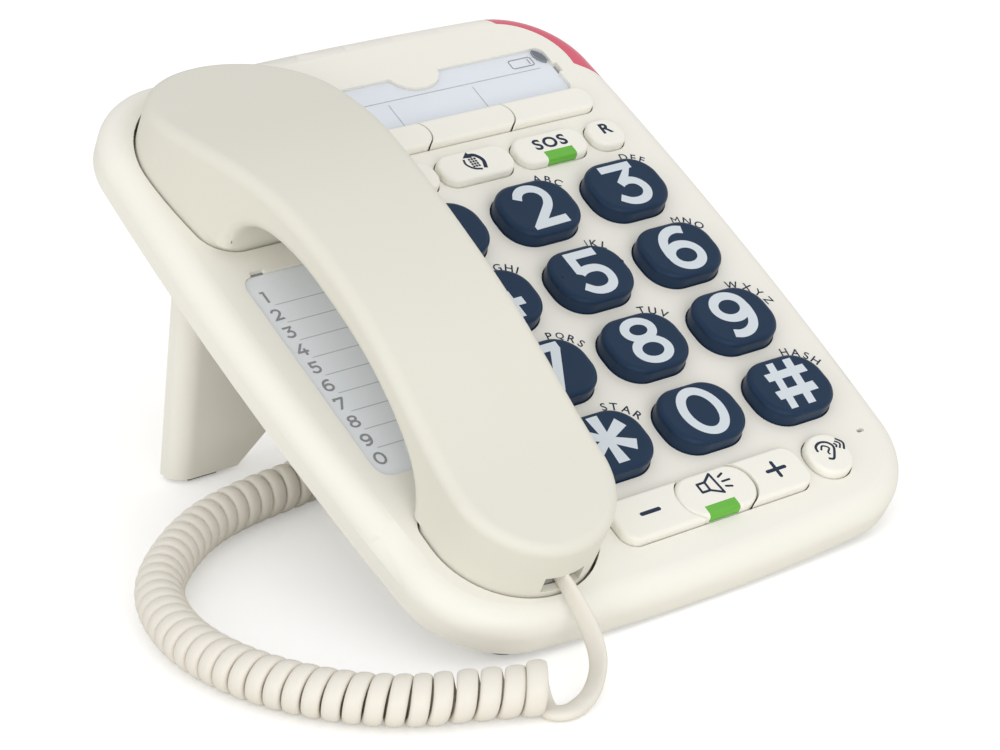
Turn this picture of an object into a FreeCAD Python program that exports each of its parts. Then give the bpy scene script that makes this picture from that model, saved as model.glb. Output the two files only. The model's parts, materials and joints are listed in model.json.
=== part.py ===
import FreeCAD, Part
import math
import os

# Corded telephone, in millimetres. The keypad face is a plane that leans back from the desk.
# Most pieces are drawn flat in the face frame: x to the right from the middle of the case,
# v up the face from the middle of the keypad, w out of the face. tilt() then leans them back.

Vec = FreeCAD.Vector

cut_past = 1.0  # how far a cutting block runs past the face that it opens
beyond = 300.0  # further than any edge of the telephone
same_place = 0.01  # two edges nearer than this are one

# Face and desk
face_tilt = 27.64  # degrees from the desk
face_height = 54.5  # middle of the keypad above the desk

# Case outline
case_half_width = 90.7
widest_v = 40.0
front_edge_v = -91.5
front_taper = 6.2
front_bow = 5.2
rear_edge_v = 132.3
rear_taper = 3.2
rear_bow = 2.6
front_corner_x = case_half_width - front_taper
front_corner_v = front_edge_v + front_bow
rear_corner_x = case_half_width - rear_taper
rear_corner_v = rear_edge_v - rear_bow
front_corner_radius = 30.0
rear_corner_radius = 30.0
case_rim = 12.5  # depth of the upper case's side wall
case_edge_round = 7.0
case_wall = 2.5
lid_gap = 0.2
lid_thickness = 2.5
lid_below_rim = 2.0

# Rear tub of the lower case
tub_half_width = 68.0
tub_front_v = -8.0
tub_rear_v = 108.0
tub_bottom_w = -31.0
tub_corner_radius = 8.0

# Keypad
column_x = 25.4  # middle key column
column_pitch = 34.2
row_pitch = 29.0
key_width = 26.8
key_length = 21.6
key_corner = 9.2
key_height = 5.3
key_edge_round = 1.8
key_gap = 0.4
key_wall = 1.7
key_skirt_w = -4.0
key_travel = 1.6
press_gap = 0.15
plunger_size = 5.0
catch_width = 10.0
catch_least = 4.0
catch_reach = 0.8
catch_top_w = -2.8
running_gap = 0.1
minus_post_x = -10.0
plus_post_x = 36.5
speaker_light_shift = 1.9

# Flat keys
flat_key_height = 2.8
flat_key_round = 1.2
flat_key_corner = 5.0
memory_key_corner = 4.4
flat_key_wall = 1.6
flat_travel = 1.2
function_front_v = 61.8
function_rear_v = 73.4
mute_x = (-18.0, 3.9)
redial_x = (5.4, 31.9)
sos_x = (33.9, 60.4)
recall_x = (62.9, 75.4)
memory_front_v = 79.0
memory_rear_v = 88.7
memory_left_x = -17.0
memory_splits = (11.4, 42.9)
memory_right_x = 74.4
memory_split_gap = 0.5
memory_bulge = 3.0
bottom_front_v = -76.0
bottom_rear_v = -61.0
minus_left_x = -23.0
speaker_left_x = 0.1
speaker_right_x = 26.4
plus_right_x = 45.9
ear_x = (48.9, 63.4)
ear_corner = 7.0
green_light_width = 11.0
green_light_length = 3.6
green_light_depth = 1.2
sos_light_shift = 1.2

# Label window
window_from_side = 17.8
window_x = (-17.2, case_half_width - window_from_side)
window_v = (90.0, 110.5)
window_corner = 3.0
window_depth = 1.5
paper_thickness = 0.25
cover_thickness = 0.9
sheet_gap = 0.1
battery_light_rear = (-3.7, -0.6)  # tips and sides of its leaf shape, from the window's rear right corner
battery_light_front = (-1.0, -6.3)
battery_light_left = (-3.5, -4.2)
battery_light_right = (-1.4, -2.6)
label_notch = [(13.4, 111.5), (15.6, 108.2), (17.7, 106.0), (20.5, 104.7), (24.2, 104.3), (27.6, 104.8)]
label_notch += [(30.2, 106.2), (31.8, 108.5), (32.7, 111.5)]
notch_gap = 0.3
pry_slot_v = (98.5, 102.5)
pry_slot_width = 1.4
pry_slot_depth = 1.8

# Index card under the handset
card_x = (-76.6, -24.6)
card_v = (-30.2, 48.7)
card_corner = 5.0
card_depth = 1.2
card_pry_start = 4.0
card_pry_width = 5.0
card_pry_depth = 1.3
card_pry_corner = 0.5

# Ring indicator lens in the rear right corner
lens_rear_end = (-27.0, 2.3)  # these five lie round its inner edge and are taken from the case's rear corner
lens_rear_tip = (-23.0, -5.7)
lens_bend = (-11.9, -13.1)
lens_side_tip = (-7.5, -29.2)
lens_side_end = (2.0, -39.2)
lens_room = 12.0
lens_bottom_w = -9.5
lens_gap = 0.1

# Microphone slot
slot_from_side = 16.8
slot_from_front = 28.5
slot_x = case_half_width - slot_from_side
slot_v = front_edge_v + slot_from_front
slot_length = 2.8
slot_width = 1.2

# Board, mat and domes
board_x = (-16.2, 78.0)
board_v = (-78.5, 91.0)
board_top_w = -8.6
board_thickness = 1.6
ring_board_width = 17.0
ring_board_length = 16.0
ring_board_right = 13.7  # from the side of the case
ring_board_rear = 19.3  # from the rear edge
mat_thickness = 1.2
mat_margin = 0.6
dome_radius = 6.0
dome_inner_radius = 4.4
dome_height = 1.3
board_rest_places = [(-10.0, -72.0), (72.0, -72.0), (-10.0, -20.0), (72.0, -20.0)]
board_rest_places += [(73.0, 40.0), (73.0, 84.0)]
board_rest_radius = 2.5

# Case screws
boss_radius = 3.5
screw_radius = 1.45
thread_gap = 0.02
screw_hole_radius = 1.7
screw_head_radius = 2.8
screw_head_height = 1.4
screw_tip_w = -4.5
screw_hole_spare = 0.5
screw_head_gap = 0.1
boss_from_side = 7.7
boss_from_front = 8.0
boss_from_rear = 8.0
left_boss_v = (-45.0, 0.0, 45.0)
right_boss_v = (-45.0, 10.0, 60.0)
front_boss_x = (0.0, 40.0)
rear_boss_x = (0.0, 50.0)
boss_places = [(boss_from_side - case_half_width, v) for v in left_boss_v]
boss_places += [(case_half_width - boss_from_side, v) for v in right_boss_v]
boss_places += [(x, front_edge_v + boss_from_front) for x in front_boss_x]
boss_places += [(x, rear_edge_v - boss_from_rear) for x in rear_boss_x]

# Handset
handset_x = -50.6
mouth_radius = 25.3
mouth_centre_v = -56.0
ear_radius = 31.0
ear_centre_v = 93.0
waist_half_width = 24.0
waist_v = 8.0
shoulder_half_width = 26.2
shoulder_v = 52.0
cup_bottom_w = -7.8
handset_ceiling_w = 60.0  # above the highest point of the handset
rim_tolerance = 0.8
rim_least_w = 4.0
ear_cup_v = 58.6
mouth_cup_v = -45.0
cup_gap = 0.8
well_depth = 8.1
well_wall = 1.6
ear_cup_corner = 11.0
mouth_cup_corner = 6.0
handset_wall = 2.2
handset_edge_round = 3.4
grip_edge_round = 4.0
cup_edge_round = 2.0
top_line = [(-95.0, 15.5), (-70.0, 20.0), (-48.0, 22.8), (-28.0, 27.4), (-8.0, 32.0), (20.0, 34.7)]
top_line += [(48.0, 33.6), (72.0, 28.2), (98.0, 18.6), (114.0, 12.8), (135.0, 4.5)]
grip_line = [(-42.8, 1.0), (-37.4, 10.2), (-26.4, 16.6), (-8.0, 21.6), (16.0, 23.6), (38.0, 22.6)]
grip_line += [(50.6, 18.0), (57.6, 3.0)]
parting_line = [(-110.0, 7.8), (-62.0, 9.4), (-36.0, 15.6), (-6.0, 25.5), (18.0, 27.3), (42.0, 25.8)]
parting_line += [(64.0, 16.4), (92.0, 6.6), (150.0, 1.5)]

# Handset jack, plugs and capsules
jack_mouth_width = 13.0
jack_mouth_w = (1.6, 8.0)
jack_width = 11.5
jack_height = 9.4
jack_length = 12.5
jack_front_v = -78.2
plug_width = 7.7
plug_height = 6.0
plug_length = 11.0
plug_gap = 0.1
plug_axis_w = 4.6
plug_rear_v = -78.2
capsule_radius = 17.0
capsule_height = 7.0
capsule_v = 92.0
ear_hole_radius = 1.1
ear_hole_ring = 6.0
ear_hole_count = 8
mic_radius = 4.85
mic_height = 5.0
base_mic_height = 4.5
mic_v = -60.0
ballast_width = 22.0
ballast_length = 42.0
ballast_thickness = 3.0
ballast_v = 14.0
ballast_w = 26.2
handset_screw_places = [66.0, -50.0]
handset_stub = 1.5
handset_screw_length = 10.0

# Hook plunger
hook_v = 78.0
hook_width = 8.0
hook_length = 5.0
hook_gap = 0.3
hook_travel = 4.0
hook_flange = 11.0
hook_flange_depth = 8.0
hook_pin_length = 6.0
hook_flange_thickness = 1.5
hook_pin_radius = 1.8
hook_post_height = 3.0
spring_gap = 0.05
spring_radius = 3.4
spring_inner_radius = 2.3
handset_lift = 60.0

# Loudspeaker, cells, battery door
speaker_x = 42.0
speaker_v = 76.0
speaker_radius = 20.0
speaker_height = 14.0
speaker_basket_height = 4.9
speaker_magnet_radius = 14.0
grille_hole_radius = 1.2
grille_rings = [(0.0, 1), (5.0, 6), (10.0, 12)]
door_x = (-6.0, 44.0)
door_v = (-4.0, 45.5)
door_gap = 0.2
door_thickness = 2.0
cell_radius = 5.15
cell_length = 44.0
cell_count = 4
cell_pitch = 11.0
bay_wall = 1.2
bay_ledge = 1.5
cell_gap = 0.3
bay_top_w = -18.0

# Line jack and base cord jack
line_jack_x = 20.0
line_jack_w = -21.5
line_jack_width = 13.0
line_jack_height = 11.5
line_jack_length = 14.0
line_socket_width = 9.8
line_socket_height = 7.4
line_socket_depth = 11.0
base_jack_x = -16.0
base_jack_v = 52.0
base_jack_size = 12.0
base_jack_height = 12.5
base_plug_out = 1.0

# Desk stand
stand_half_width = 80.0
stand_depth = 9.0
stand_lean = 0.19  # forward travel for each millimetre of height
stand_front_y = 78.3
stand_wall = 2.6
stand_corner = 6.0
stand_foot_width = 22.0
stand_arch_height = 24.0
stand_top_gap = 0.3
stand_trim_height = 95.0  # above the case, which then trims the stand
stand_plate_x = 22.0
stand_plate_v = (64.0, 98.0)
stand_plate_thickness = 2.6
pad_thickness = 1.2
pad_width = 10.0
pad_depth = 6.0
pad_x = 69.5

# Feet of the case
foot_radius = 5.5
foot_x = 62.0
foot_y = -62.0
foot_height = 2.0
toe_radius = 7.0
toe_overlap = 1.0

# Cord
cord_diameter = 3.4
coil_outer_diameter = 14.4
coil_pitch = 5.25
coil_tail_radius = 4.4
desk_gap = 0.05
coil_route = [(-42.0, 49.0), (-57.6, 45.4), (-73.1, 44.0), (-93.7, 38.6), (-111.1, 26.5), (-126.3, 11.1)]
coil_route += [(-133.9, -6.5), (-136.7, -26.3), (-132.9, -47.9), (-122.6, -68.4), (-108.3, -83.2)]
coil_route += [(-92.1, -90.3), (-75.8, -98.9)]
lead_heading = (0.906, 0.423)  # the handset lead leaves the coil along the desk
base_lead_route = [(-16.0, 65.3, 42.4), (-16.8, 64.5, 30.5), (-19.8, 60.7, 20.5), (-26.4, 57.2, 12.75)]
handset_lead_route = [(-63.3, -101.8, 1.75), (-56.3, -96.2, 3.9), (-52.8, -91.8, 7.0), (-51.0, -85.9, 11.7)]
lead_approach = 5.1  # the handset lead's last run, straight into the plug
lead_gap = 0.1
sample_length = 0.6  # spacing of the points on which the gap between curls is measured
cord_nodes = ("base_plug", "base_lead", "cord_coil", "handset_lead", "handset_plug")


mat_top_w = board_top_w + mat_thickness
lid_bottom_w = -case_rim - lid_below_rim
lid_top_w = lid_bottom_w + lid_thickness
tub_floor_w = tub_bottom_w + case_wall
well_floor_w = -well_depth
wire_radius = (coil_outer_diameter - cord_diameter) / 2
coil_height = coil_outer_diameter / 2 + desk_gap


def tilt(shape):
    """Leans a piece drawn in the face frame back to its place above the desk."""
    leaned = shape.copy()
    leaned.rotate(Vec(0, 0, 0), Vec(1, 0, 0), face_tilt)
    leaned.translate(Vec(0, 0, face_height))
    return leaned


def tilt_point(x, v, w):
    angle = math.radians(face_tilt)
    y = v * math.cos(angle) - w * math.sin(angle)
    z = v * math.sin(angle) + w * math.cos(angle) + face_height
    return Vec(x, y, z)


def prism(points, z, height):
    """A straight-sided solid over a polygon of (x, y) points."""
    corners = [Vec(x, y, z) for x, y in points]
    face = Part.Face(Part.makePolygon(corners + corners[:1]))
    return face.extrude(Vec(0, 0, height))


def profile_prism(points, half_width):
    """A solid along x whose side outline is a closed polygon of (v, w) points."""
    corners = [Vec(-half_width, v, w) for v, w in points]
    face = Part.Face(Part.makePolygon(corners + corners[:1]))
    return face.extrude(Vec(2 * half_width, 0, 0))


def box(x0, x1, y0, y1, z0, z1):
    return Part.makeBox(x1 - x0, y1 - y0, z1 - z0, Vec(x0, y0, z0))


def rod(x, y, z, radius, height):
    return Part.makeCylinder(radius, height, Vec(x, y, z))


def upright_edges(shape, keep):
    found = []
    for edge in shape.Edges:
        if len(edge.Vertexes) == 2:
            a, b = [vertex.Point for vertex in edge.Vertexes]
            if abs(a.x - b.x) < 1e-6 and abs(a.y - b.y) < 1e-6 and keep(a):
                found.append(edge)
    return found


def level_edges(shape, z):
    return [e for e in shape.Edges if all(abs(vertex.Point.z - z) < 1e-6 for vertex in e.Vertexes)]


def rounded_box(x0, x1, y0, y1, z0, z1, corner, top_round=0.0):
    block = box(x0, x1, y0, y1, z0, z1)
    block = block.makeFillet(corner, upright_edges(block, lambda p: True))
    if top_round > 0:
        block = block.makeFillet(top_round, level_edges(block, z1))
    return block


def case_block(inset, bottom, top, edge_round):
    """The outline of the case, drawn in by inset, as a solid with rounded corners and top edge."""
    side = case_half_width - inset
    corner_x = front_corner_x - inset
    corner_v = front_corner_v + inset
    back_x = rear_corner_x - inset
    back_v = rear_corner_v - inset
    front_left = Vec(-corner_x, corner_v, bottom)
    front_right = Vec(corner_x, corner_v, bottom)
    back_right = Vec(back_x, back_v, bottom)
    back_left = Vec(-back_x, back_v, bottom)
    edges = [
        Part.Arc(front_left, Vec(0, front_edge_v + inset, bottom), front_right).toShape(),
        Part.Arc(front_right, Vec(side, widest_v, bottom), back_right).toShape(),
        Part.Arc(back_right, Vec(0, rear_edge_v - inset, bottom), back_left).toShape(),
        Part.Arc(back_left, Vec(-side, widest_v, bottom), front_left).toShape(),
    ]
    block = Part.Face(Part.Wire(edges)).extrude(Vec(0, 0, top - bottom))
    front = upright_edges(block, lambda p: p.y < 0)
    block = block.makeFillet(front_corner_radius - inset, front)
    rear = upright_edges(block, lambda p: p.y > rear_corner_v - inset - 1)
    block = block.makeFillet(rear_corner_radius - inset, rear)
    if edge_round > 0:
        block = block.makeFillet(edge_round, level_edges(block, top))
    return block


def curve_through(points, start=None, end=None):
    curve = Part.BSplineCurve()
    if start is None:
        curve.interpolate(points)
    else:
        curve.interpolate(points, InitialTangent=start, FinalTangent=end)
    return curve


def handset_plan(grow, bottom, top):
    """The handset seen square to the face: two round ends joined by waisted sides."""
    mouth = mouth_radius + grow
    ear = ear_radius + grow
    side = [
        Vec(ear, ear_centre_v, bottom),
        Vec(shoulder_half_width + grow, shoulder_v, bottom),
        Vec(waist_half_width + grow, waist_v, bottom),
        Vec(mouth, mouth_centre_v, bottom),
    ]
    right = curve_through(side, Vec(0, -1, 0), Vec(0, -1, 0))
    mirrored = [Vec(-p.x, p.y, p.z) for p in reversed(side)]
    left = curve_through(mirrored, Vec(0, 1, 0), Vec(0, 1, 0))
    mouth_tip = Vec(0, mouth_centre_v - mouth, bottom)
    ear_tip = Vec(0, ear_centre_v + ear, bottom)
    edges = [
        right.toShape(),
        Part.Arc(side[-1], mouth_tip, mirrored[0]).toShape(),
        left.toShape(),
        Part.Arc(mirrored[-1], ear_tip, side[0]).toShape(),
    ]
    plan = Part.Face(Part.Wire(edges)).extrude(Vec(0, 0, top - bottom))
    plan.translate(Vec(handset_x, 0, 0))
    return plan


def across(points, lift, half_width):
    """Edge of a curve through (v, w) points, raised by lift, at one side of the handset."""
    return [Vec(handset_x - half_width, v, w + lift) for v, w in points]


def handset_side(shrink):
    """The handset above its cups, seen from the side: arched top and finger gap."""
    reach = ear_radius + 5.0
    top = curve_through(across(top_line, -shrink, reach))
    grip = curve_through(across(grip_line, shrink, reach))
    front = top.StartPoint
    back = top.EndPoint
    grip_front = grip.StartPoint
    grip_back = grip.EndPoint
    corners = [
        (back, Vec(back.x, back.y, grip_back.z)),
        (Vec(back.x, back.y, grip_back.z), grip_back),
        (grip_front, Vec(front.x, front.y, grip_front.z)),
        (Vec(front.x, front.y, grip_front.z), front),
    ]
    edges = [Part.LineSegment(a, b).toShape() for a, b in corners]
    edges += [top.toShape(), grip.toShape()]
    outline = Part.Wire(Part.__sortEdges__(edges))
    return Part.Face(outline).extrude(Vec(2 * reach, 0, 0))


def solid_of(shape):
    """The one solid of a cut or common, without its wrapper."""
    solids = sorted(shape.Solids, key=lambda s: s.Volume)
    return solids[-1]



def key_outlines():
    """Name, left, right, front, rear, corner radius and height of each key that isn't cut by another."""
    keys = []
    digit_names = [["1", "2", "3"], ["4", "5", "6"], ["7", "8", "9"], ["star", "0", "hash"]]
    for row, names in enumerate(digit_names):
        middle_v = (1.5 - row) * row_pitch
        for column, name in enumerate(names):
            middle_x = column_x + (column - 1) * column_pitch
            sides = (middle_x - key_width / 2, middle_x + key_width / 2)
            ends = (middle_v - key_length / 2, middle_v + key_length / 2)
            keys.append(("key_" + name, sides, ends, key_corner, key_height))
    function_ends = (function_front_v, function_rear_v)
    keys.append(("mute_key", mute_x, function_ends, flat_key_corner, flat_key_height))
    keys.append(("redial_key", redial_x, function_ends, flat_key_corner, flat_key_height))
    keys.append(("sos_key", sos_x, function_ends, flat_key_corner, flat_key_height))
    keys.append(("recall_key", recall_x, function_ends, flat_key_corner, flat_key_height))
    bottom_ends = (bottom_front_v, bottom_rear_v)
    keys.append(("speaker_key", (speaker_left_x, speaker_right_x), bottom_ends, ear_corner, flat_key_height))
    keys.append(("amplify_key", ear_x, bottom_ends, ear_corner, flat_key_height))
    return keys


def cap_block(sides, ends, corner, top, round_radius, grow=0.0, bottom=key_skirt_w):
    return rounded_box(sides[0] - grow, sides[1] + grow, ends[0] - grow, ends[1] + grow, bottom, top,
                       corner + grow, round_radius)


def finish_key(cap, hollow, sides, ends, post_x, travel):
    """Hollows a key from below and gives it a pressing post and two catches under the case top."""
    middle_x = (sides[0] + sides[1]) / 2
    middle_v = (ends[0] + ends[1]) / 2
    half = plunger_size / 2
    ceiling = hollow.BoundBox.ZMax
    post_bottom = mat_top_w + press_gap + travel
    post = box(post_x - half, post_x + half, middle_v - half, middle_v + half, post_bottom, ceiling)
    body = cap.cut(hollow).fuse(post)
    straight = sides[1] - sides[0] - 2 * ear_corner
    reach = max(catch_least, min(catch_width, straight)) / 2
    front_catch = (ends[0] - catch_reach, ends[0] + key_wall)
    rear_catch = (ends[1] - key_wall, ends[1] + catch_reach)
    for v0, v1 in (front_catch, rear_catch):
        body = body.fuse(box(middle_x - reach, middle_x + reach, v0, v1, key_skirt_w, catch_top_w))
    return solid_of(body.removeSplitter())


def plain_key(sides, ends, corner, height, wall, travel):
    round_radius = key_edge_round if height == key_height else flat_key_round
    cap = cap_block(sides, ends, corner, height, round_radius)
    hollow = cap_block(sides, ends, corner, height - wall, 0.0, -wall, key_skirt_w - 1)
    return finish_key(cap, hollow, sides, ends, (sides[0] + sides[1]) / 2, travel)


def left_of_arc(split_x, ends, grow):
    """Everything left of a boundary that bulges to the right, for the memory keys."""
    half = (ends[1] - ends[0]) / 2
    radius = (half * half + memory_bulge * memory_bulge) / (2 * memory_bulge)
    middle = (ends[0] + ends[1]) / 2
    low = key_skirt_w - 2
    high = flat_key_height + 2
    bulge = rod(split_x - radius, middle, low, radius + grow, high - low)
    return bulge.fuse(box(memory_left_x - 5, split_x - radius, ends[0] - 2, ends[1] + 2, low, high))


def memory_keys():
    ends = (memory_front_v, memory_rear_v)
    sides = (memory_left_x, memory_right_x)
    band = cap_block(sides, ends, memory_key_corner, flat_key_height, flat_key_round)
    wall = flat_key_wall
    core = cap_block(sides, ends, memory_key_corner, flat_key_height - wall, 0.0, -wall, key_skirt_w - 1)
    first, second = memory_splits
    bounds = [(memory_left_x, first), (first, second), (second, memory_right_x)]
    keys = []
    for index, (left, right) in enumerate(bounds):
        cap = band
        hollow = core
        if index < 2:
            cap = cap.common(left_of_arc(right, ends, 0))
            hollow = hollow.common(left_of_arc(right, ends, -wall))
        if index > 0:
            cap = cap.cut(left_of_arc(left, ends, memory_split_gap))
            hollow = hollow.cut(left_of_arc(left, ends, memory_split_gap + wall))
        post_x = (left + right) / 2
        keys.append(finish_key(solid_of(cap), solid_of(hollow), (left + 1, right), ends, post_x, flat_travel))
    return keys


def volume_key(sides, post_x):
    """Minus or plus: a rounded cap with the speaker key's outline taken out of its inner end."""
    ends = (bottom_front_v, bottom_rear_v)
    wall = flat_key_wall
    middle = (speaker_left_x, speaker_right_x)
    gap = memory_split_gap
    keep_out = cap_block(middle, ends, ear_corner, flat_key_height + 2, 0.0, gap, key_skirt_w - 2)
    keep_in = cap_block(middle, ends, ear_corner, flat_key_height + 2, 0.0, gap + wall, key_skirt_w - 2)
    cap = cap_block(sides, ends, flat_key_corner, flat_key_height, flat_key_round).cut(keep_out)
    inner = cap_block(sides, ends, flat_key_corner, flat_key_height - wall, 0.0, -wall, key_skirt_w - 1)
    hollow = inner.cut(keep_in)
    pieces = sorted(cap.Solids, key=lambda s: s.Volume)
    cores = sorted(hollow.Solids, key=lambda s: s.Volume)
    reach = ear_corner + catch_width / 4
    return finish_key(pieces[-1], cores[-1], (post_x - reach, post_x + reach), ends, post_x, flat_travel)


def split_green_light(key, middle_x, front_v, height, cap):
    """Takes a green lens out of the front edge of a key; returns the key and the lens."""
    half = green_light_width / 2
    layer = green_light_depth
    left = middle_x - half
    right = middle_x + half
    outside = front_v - cut_past
    top = box(left, right, outside, front_v + green_light_length, height - layer, height + cut_past)
    front = box(left, right, outside, front_v + layer, 0, height)
    region = top.fuse(front).removeSplitter()
    lens = cap.common(region)
    return solid_of(key.cut(region)), solid_of(lens)


def lens_region(grow):
    """The crescent at the rear right corner, as an upright solid outside its blunt-ended inner edge."""
    offsets = (lens_rear_end, lens_rear_tip, lens_bend, lens_side_tip, lens_side_end)
    bottom = lens_bottom_w - grow
    corners = [Vec(rear_corner_x + x, rear_corner_v + v, bottom) for x, v in offsets]
    rear_end, rear_tip, bend, side_tip, side_end = corners
    far = Vec(rear_corner_x + lens_room, rear_corner_v + lens_room, bottom)
    above = Vec(rear_end.x, far.y, bottom)
    beside = Vec(far.x, side_end.y, bottom)
    edges = [Part.LineSegment(rear_end, rear_tip).toShape(), Part.Arc(rear_tip, bend, side_tip).toShape()]
    rest = [side_tip, side_end, beside, far, above, rear_end]
    edges += [Part.LineSegment(a, b).toShape() for a, b in zip(rest, rest[1:])]
    face = Part.Face(Part.Wire(edges))
    if grow > 0:
        face = face.makeOffset2D(grow)
    return face.extrude(Vec(0, 0, cut_past - bottom))


def grown_notch(grow):
    """Finger notch of the label cover, seen from above, each point moved out square to its neighbours' line."""
    grown = []
    for index, (x, v) in enumerate(label_notch):
        before = label_notch[max(index - 1, 0)]
        after = label_notch[min(index + 1, len(label_notch) - 1)]
        along = unit(Vec(after[0] - before[0], after[1] - before[1], 0))
        grown.append((x + along.y * grow, v - along.x * grow))
    return grown


def battery_leaf(bottom, height, grow):
    """The low-battery light, a leaf between two arcs."""
    corners = (battery_light_rear, battery_light_left, battery_light_front, battery_light_right)
    rear, left, front, right = [Vec(window_x[1] + x, window_v[1] + v, bottom) for x, v in corners]
    face = Part.Face(Part.Wire([Part.Arc(rear, left, front).toShape(), Part.Arc(front, right, rear).toShape()]))
    if grow > 0:
        face = face.makeOffset2D(grow)
    return face.extrude(Vec(0, 0, height))


def window_plate(bottom, thickness, clearance):
    plate = rounded_box(window_x[0] + clearance, window_x[1] - clearance, window_v[0] + clearance,
                        window_v[1] - clearance, bottom, bottom + thickness, window_corner - clearance)
    hole = battery_leaf(bottom - cut_past, thickness + 2 * cut_past, clearance)
    notch = prism(grown_notch(notch_gap if clearance > 0 else 0.0), bottom - 1, thickness + 2)
    return solid_of(plate.cut(hole).cut(notch))


def card_plate(bottom, thickness, clearance):
    return rounded_box(card_x[0] + clearance, card_x[1] - clearance, card_v[0] + clearance,
                       card_v[1] - clearance, bottom, bottom + thickness, card_corner - clearance)


def handset_cups(grow, bottom, ear_top, mouth_top):
    """Both cups of the handset grown evenly, as upright blocks with rounded inner corners."""
    ear_inner = ear_cup_v - grow
    mouth_inner = mouth_cup_v + grow
    ear_room = box(-beyond, beyond, ear_inner, beyond, bottom - cut_past, ear_top + cut_past)
    mouth_room = box(-beyond, beyond, -beyond, mouth_inner, bottom - cut_past, mouth_top + cut_past)
    ear = solid_of(handset_plan(grow, bottom, ear_top).common(ear_room))
    mouth = solid_of(handset_plan(grow, bottom, mouth_top).common(mouth_room))
    ear_corners = upright_edges(ear, lambda p: abs(p.y - ear_inner) < same_place)
    mouth_corners = upright_edges(mouth, lambda p: abs(p.y - mouth_inner) < same_place)
    return [ear.makeFillet(ear_cup_corner + grow, ear_corners),
            mouth.makeFillet(mouth_cup_corner + grow, mouth_corners)]


def handset_body(shrink):
    plan = handset_plan(-shrink, cup_bottom_w, handset_ceiling_w)
    low = cup_bottom_w + shrink
    cups = handset_cups(-shrink, low, grip_line[-1][1] + shrink, grip_line[0][1] + shrink)
    body = plan.common(handset_side(shrink)).fuse(cups).removeSplitter()
    body = solid_of(body)
    top = [e for e in body.Edges if on_top_line(e, shrink)]
    body = body.makeFillet(handset_edge_round - shrink, top)
    if shrink == 0:
        sides = [e for e in body.Edges if on_grip_line(e)]
        body = body.makeFillet(grip_edge_round, sides)
        body = body.makeFillet(cup_edge_round, level_edges(body, cup_bottom_w))
    return body


def on_top_line(edge, shrink):
    """True for an edge of the handset's upper rim."""
    middle = edge.valueAt((edge.FirstParameter + edge.LastParameter) / 2)
    level = interpolated(top_line, middle.y) - shrink
    return abs(middle.z - level) < rim_tolerance and edge.BoundBox.ZMin > rim_least_w


def on_grip_line(edge):
    """True for a long edge of the arch over the finger gap."""
    grip_front = grip_line[0][0]
    grip_back = grip_line[-1][0]
    grip_top = max(w for v, w in grip_line)
    length_share = edge.Length / (grip_back - grip_front)
    bounds = edge.BoundBox
    return length_share > 0.9 and bounds.YMax < grip_back + cut_past and bounds.ZMax < grip_top + cut_past


def interpolated(line, v):
    for (v0, w0), (v1, w1) in zip(line, line[1:]):
        if v0 <= v <= v1:
            return w0 + (w1 - w0) * (v - v0) / (v1 - v0)
    return line[-1][1]


def green_parts(keys):
    """Green lenses of the SOS and speaker keys, each taken out of its key."""
    ends = (function_front_v, function_rear_v)
    sos_cap = cap_block(sos_x, ends, flat_key_corner, flat_key_height, flat_key_round)
    sos_middle = (sos_x[0] + sos_x[1]) / 2 + sos_light_shift
    height = flat_key_height
    sos, sos_light = split_green_light(keys["sos_key"], sos_middle, function_front_v, height, sos_cap)
    sides = (speaker_left_x, speaker_right_x)
    bottom_ends = (bottom_front_v, bottom_rear_v)
    speaker_cap = cap_block(sides, bottom_ends, ear_corner, flat_key_height, flat_key_round)
    middle = (speaker_left_x + speaker_right_x) / 2 - speaker_light_shift
    whole = keys["speaker_key"]
    speaker, speaker_light = split_green_light(whole, middle, bottom_front_v, height, speaker_cap)
    keys["sos_key"] = sos
    keys["speaker_key"] = speaker
    return {"sos_light": sos_light, "speaker_light": speaker_light}


def make_keys():
    keys = {}
    for name, sides, ends, corner, height in key_outlines():
        wall = key_wall if height == key_height else flat_key_wall
        travel = key_travel if height == key_height else flat_travel
        keys[name] = plain_key(sides, ends, corner, height, wall, travel)
    for name, shape in zip(("memory_key_left", "memory_key_middle", "memory_key_right"), memory_keys()):
        keys[name] = shape
    keys["minus_key"] = volume_key((minus_left_x, speaker_left_x + 2 * ear_corner), minus_post_x)
    keys["plus_key"] = volume_key((speaker_right_x - 2 * ear_corner, plus_right_x), plus_post_x)
    return keys


def key_holes():
    """Holes in the case top for every key, and for the two shared slots."""
    low = key_skirt_w - 2
    high = key_height
    holes = []
    for name, sides, ends, corner, height in key_outlines():
        if name != "speaker_key":
            holes.append(cap_block(sides, ends, corner, high, 0.0, key_gap, low))
    band = (memory_left_x, memory_right_x)
    memory_ends = (memory_front_v, memory_rear_v)
    holes.append(cap_block(band, memory_ends, memory_key_corner, high, 0.0, key_gap, low))
    volume_sides = (minus_left_x, plus_right_x)
    volume_ends = (bottom_front_v, bottom_rear_v)
    holes.append(cap_block(volume_sides, volume_ends, flat_key_corner, high, 0.0, key_gap, low))
    return holes


def case_shell():
    outer = case_block(0, -case_rim, 0, case_edge_round)
    inner = case_block(case_wall, -case_rim - 1, -case_wall, case_edge_round - case_wall)
    return outer.cut(inner)


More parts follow.
